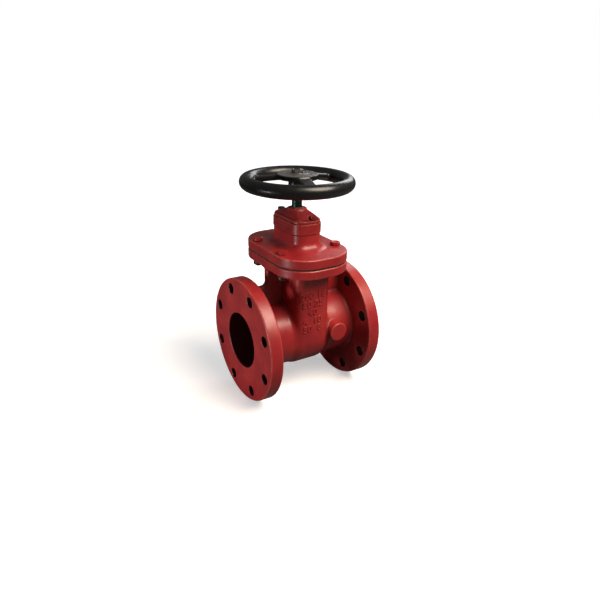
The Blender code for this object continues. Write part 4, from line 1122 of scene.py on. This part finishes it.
def make_camera():
    """The photograph's camera: a place and three turns."""
    ahead = Vector((
        -math.sin(CAMERA_YAW) * math.cos(CAMERA_PITCH),
        math.cos(CAMERA_YAW) * math.cos(CAMERA_PITCH),
        -math.sin(CAMERA_PITCH),
    ))
    level = Vector((math.cos(CAMERA_YAW), math.sin(CAMERA_YAW), 0.0))
    above = level.cross(ahead)
    right = math.cos(CAMERA_ROLL) * level + math.sin(CAMERA_ROLL) * above
    up = math.cos(CAMERA_ROLL) * above - math.sin(CAMERA_ROLL) * level
    across, rise = CAMERA_OFFSET
    place = -(right * across + up * rise + ahead * CAMERA_DISTANCE) * MM
    data = bpy.data.cameras.new("photo_camera")
    data.sensor_width = 36.0
    data.lens = data.sensor_width * FOCAL_PIXELS / PHOTO_PIXELS
    data.clip_start = 0.05
    camera = bpy.data.objects.new("photo_camera", data)
    turn = Matrix((right, up, -ahead)).transposed().to_4x4()
    camera.matrix_world = Matrix.Translation(place) @ turn
    bpy.context.scene.collection.objects.link(camera)
    bpy.context.scene.camera = camera


def area_light(name, place, aim, size, power, colour=(1.0, 1.0, 1.0), spread=180.0):
    """A round lamp at a place in metres, aimed at a point; the spread is its cone of light in degrees."""
    data = bpy.data.lights.new(name, "AREA")
    data.shape = "DISK"
    data.size = size
    data.energy = power
    data.spread = math.radians(spread)
    data.color = colour
    item = bpy.data.objects.new(name, data)
    item.location = place
    item.rotation_euler = (Vector(aim) - Vector(place)).to_track_quat("-Z", "Y").to_euler()
    bpy.context.scene.collection.objects.link(item)


def by_ray(tree, seen_value, lit_value):
    """One value for what the camera sees and another for the light that falls on the valve."""
    path = tree.nodes.new("ShaderNodeLightPath")
    choice = tree.nodes.new("ShaderNodeMapRange")
    choice.inputs["To Min"].default_value = lit_value
    choice.inputs["To Max"].default_value = seen_value
    tree.links.new(path.outputs["Is Camera Ray"], choice.inputs["Value"])
    return choice.outputs["Result"]


# Grey levels of the floor and the world: as the camera sees them, and for the light on the valve
FLOOR_SEEN = 0.8
FLOOR_LIT = 0.14
WORLD_SEEN = 1.0
WORLD_LIT = 0.11

# The floor's own glow, from under the valve to further out, and between which ways out it grows, in metres
GLOW_NEAR = 0.45
GLOW_FAR = 1.0
GLOW_START = 0.15
GLOW_END = 0.9


def make_floor():
    """A white floor under the flanges that keeps the soft shadow and fades to plain white further out."""
    reach = 6.0
    height = BODY_LOW[2] * MM
    mesh = bpy.data.meshes.new("floor")
    outline = [(x * reach, y * reach, height) for x, y in ((-1, -1), (1, -1), (1, 1), (-1, 1))]
    mesh.from_pydata(outline, [], [(0, 1, 2, 3)])
    floor = bpy.data.objects.new("floor", mesh)
    bpy.context.scene.collection.objects.link(floor)
    material = bpy.data.materials.new("white_floor")
    material.use_nodes = True
    tree = material.node_tree
    tree.nodes.remove(tree.nodes["Principled BSDF"])
    diffuse = tree.nodes.new("ShaderNodeBsdfDiffuse")
    tree.links.new(by_ray(tree, FLOOR_SEEN, FLOOR_LIT), diffuse.inputs["Color"])
    place = tree.nodes.new("ShaderNodeTexCoord")
    length = tree.nodes.new("ShaderNodeVectorMath")
    length.operation = "LENGTH"
    tree.links.new(place.outputs["Object"], length.inputs[0])
    fade = tree.nodes.new("ShaderNodeMapRange")
    fade.inputs["From Min"].default_value = GLOW_START
    fade.inputs["From Max"].default_value = GLOW_END
    fade.inputs["To Min"].default_value = GLOW_NEAR
    fade.inputs["To Max"].default_value = GLOW_FAR
    tree.links.new(length.outputs["Value"], fade.inputs["Value"])
    strength = tree.nodes.new("ShaderNodeMath")
    strength.operation = "MULTIPLY"
    tree.links.new(fade.outputs["Result"], strength.inputs[0])
    tree.links.new(by_ray(tree, 1.0, 0.0), strength.inputs[1])
    glow = tree.nodes.new("ShaderNodeEmission")
    tree.links.new(strength.outputs[0], glow.inputs["Strength"])
    total = tree.nodes.new("ShaderNodeAddShader")
    tree.links.new(diffuse.outputs[0], total.inputs[0])
    tree.links.new(glow.outputs[0], total.inputs[1])
    tree.links.new(total.outputs[0], tree.nodes["Material Output"].inputs["Surface"])
    mesh.materials.append(material)


def make_world():
    """White behind the valve, and a plain grey level of light on it."""
    world = bpy.data.worlds.new("white_world")
    world.use_nodes = True
    bpy.context.scene.world = world
    background = world.node_tree.nodes["Background"]
    background.inputs["Color"].default_value = (1.0, 1.0, 1.0, 1.0)
    level = by_ray(world.node_tree, WORLD_SEEN, WORLD_LIT)
    world.node_tree.links.new(level, background.inputs["Strength"])


def make_lights():
    """A warm lamp above the front, a narrow one square to the near flange and a small one from behind."""
    area_light("top_lamp", (0.45, -0.95, 1.4), (0.0, 0.0, 0.05), 1.2, 50.0, (1.0, 0.86, 0.72))
    area_light("flange_lamp", (-1.1, -0.02, 0.0), (0.0, 0.0, 0.0), 0.3, 0.4, spread=34.0)
    area_light("back_lamp", (1.0, 0.7, 0.8), (0.0, 0.0, 0.1), 0.6, 4.0)


bpy.context.scene.view_settings.view_transform = "Standard"
make_camera()
make_floor()
make_world()
make_lights()
dress_nodes()
make_castings()
make_small_parts()
raised_numbers()
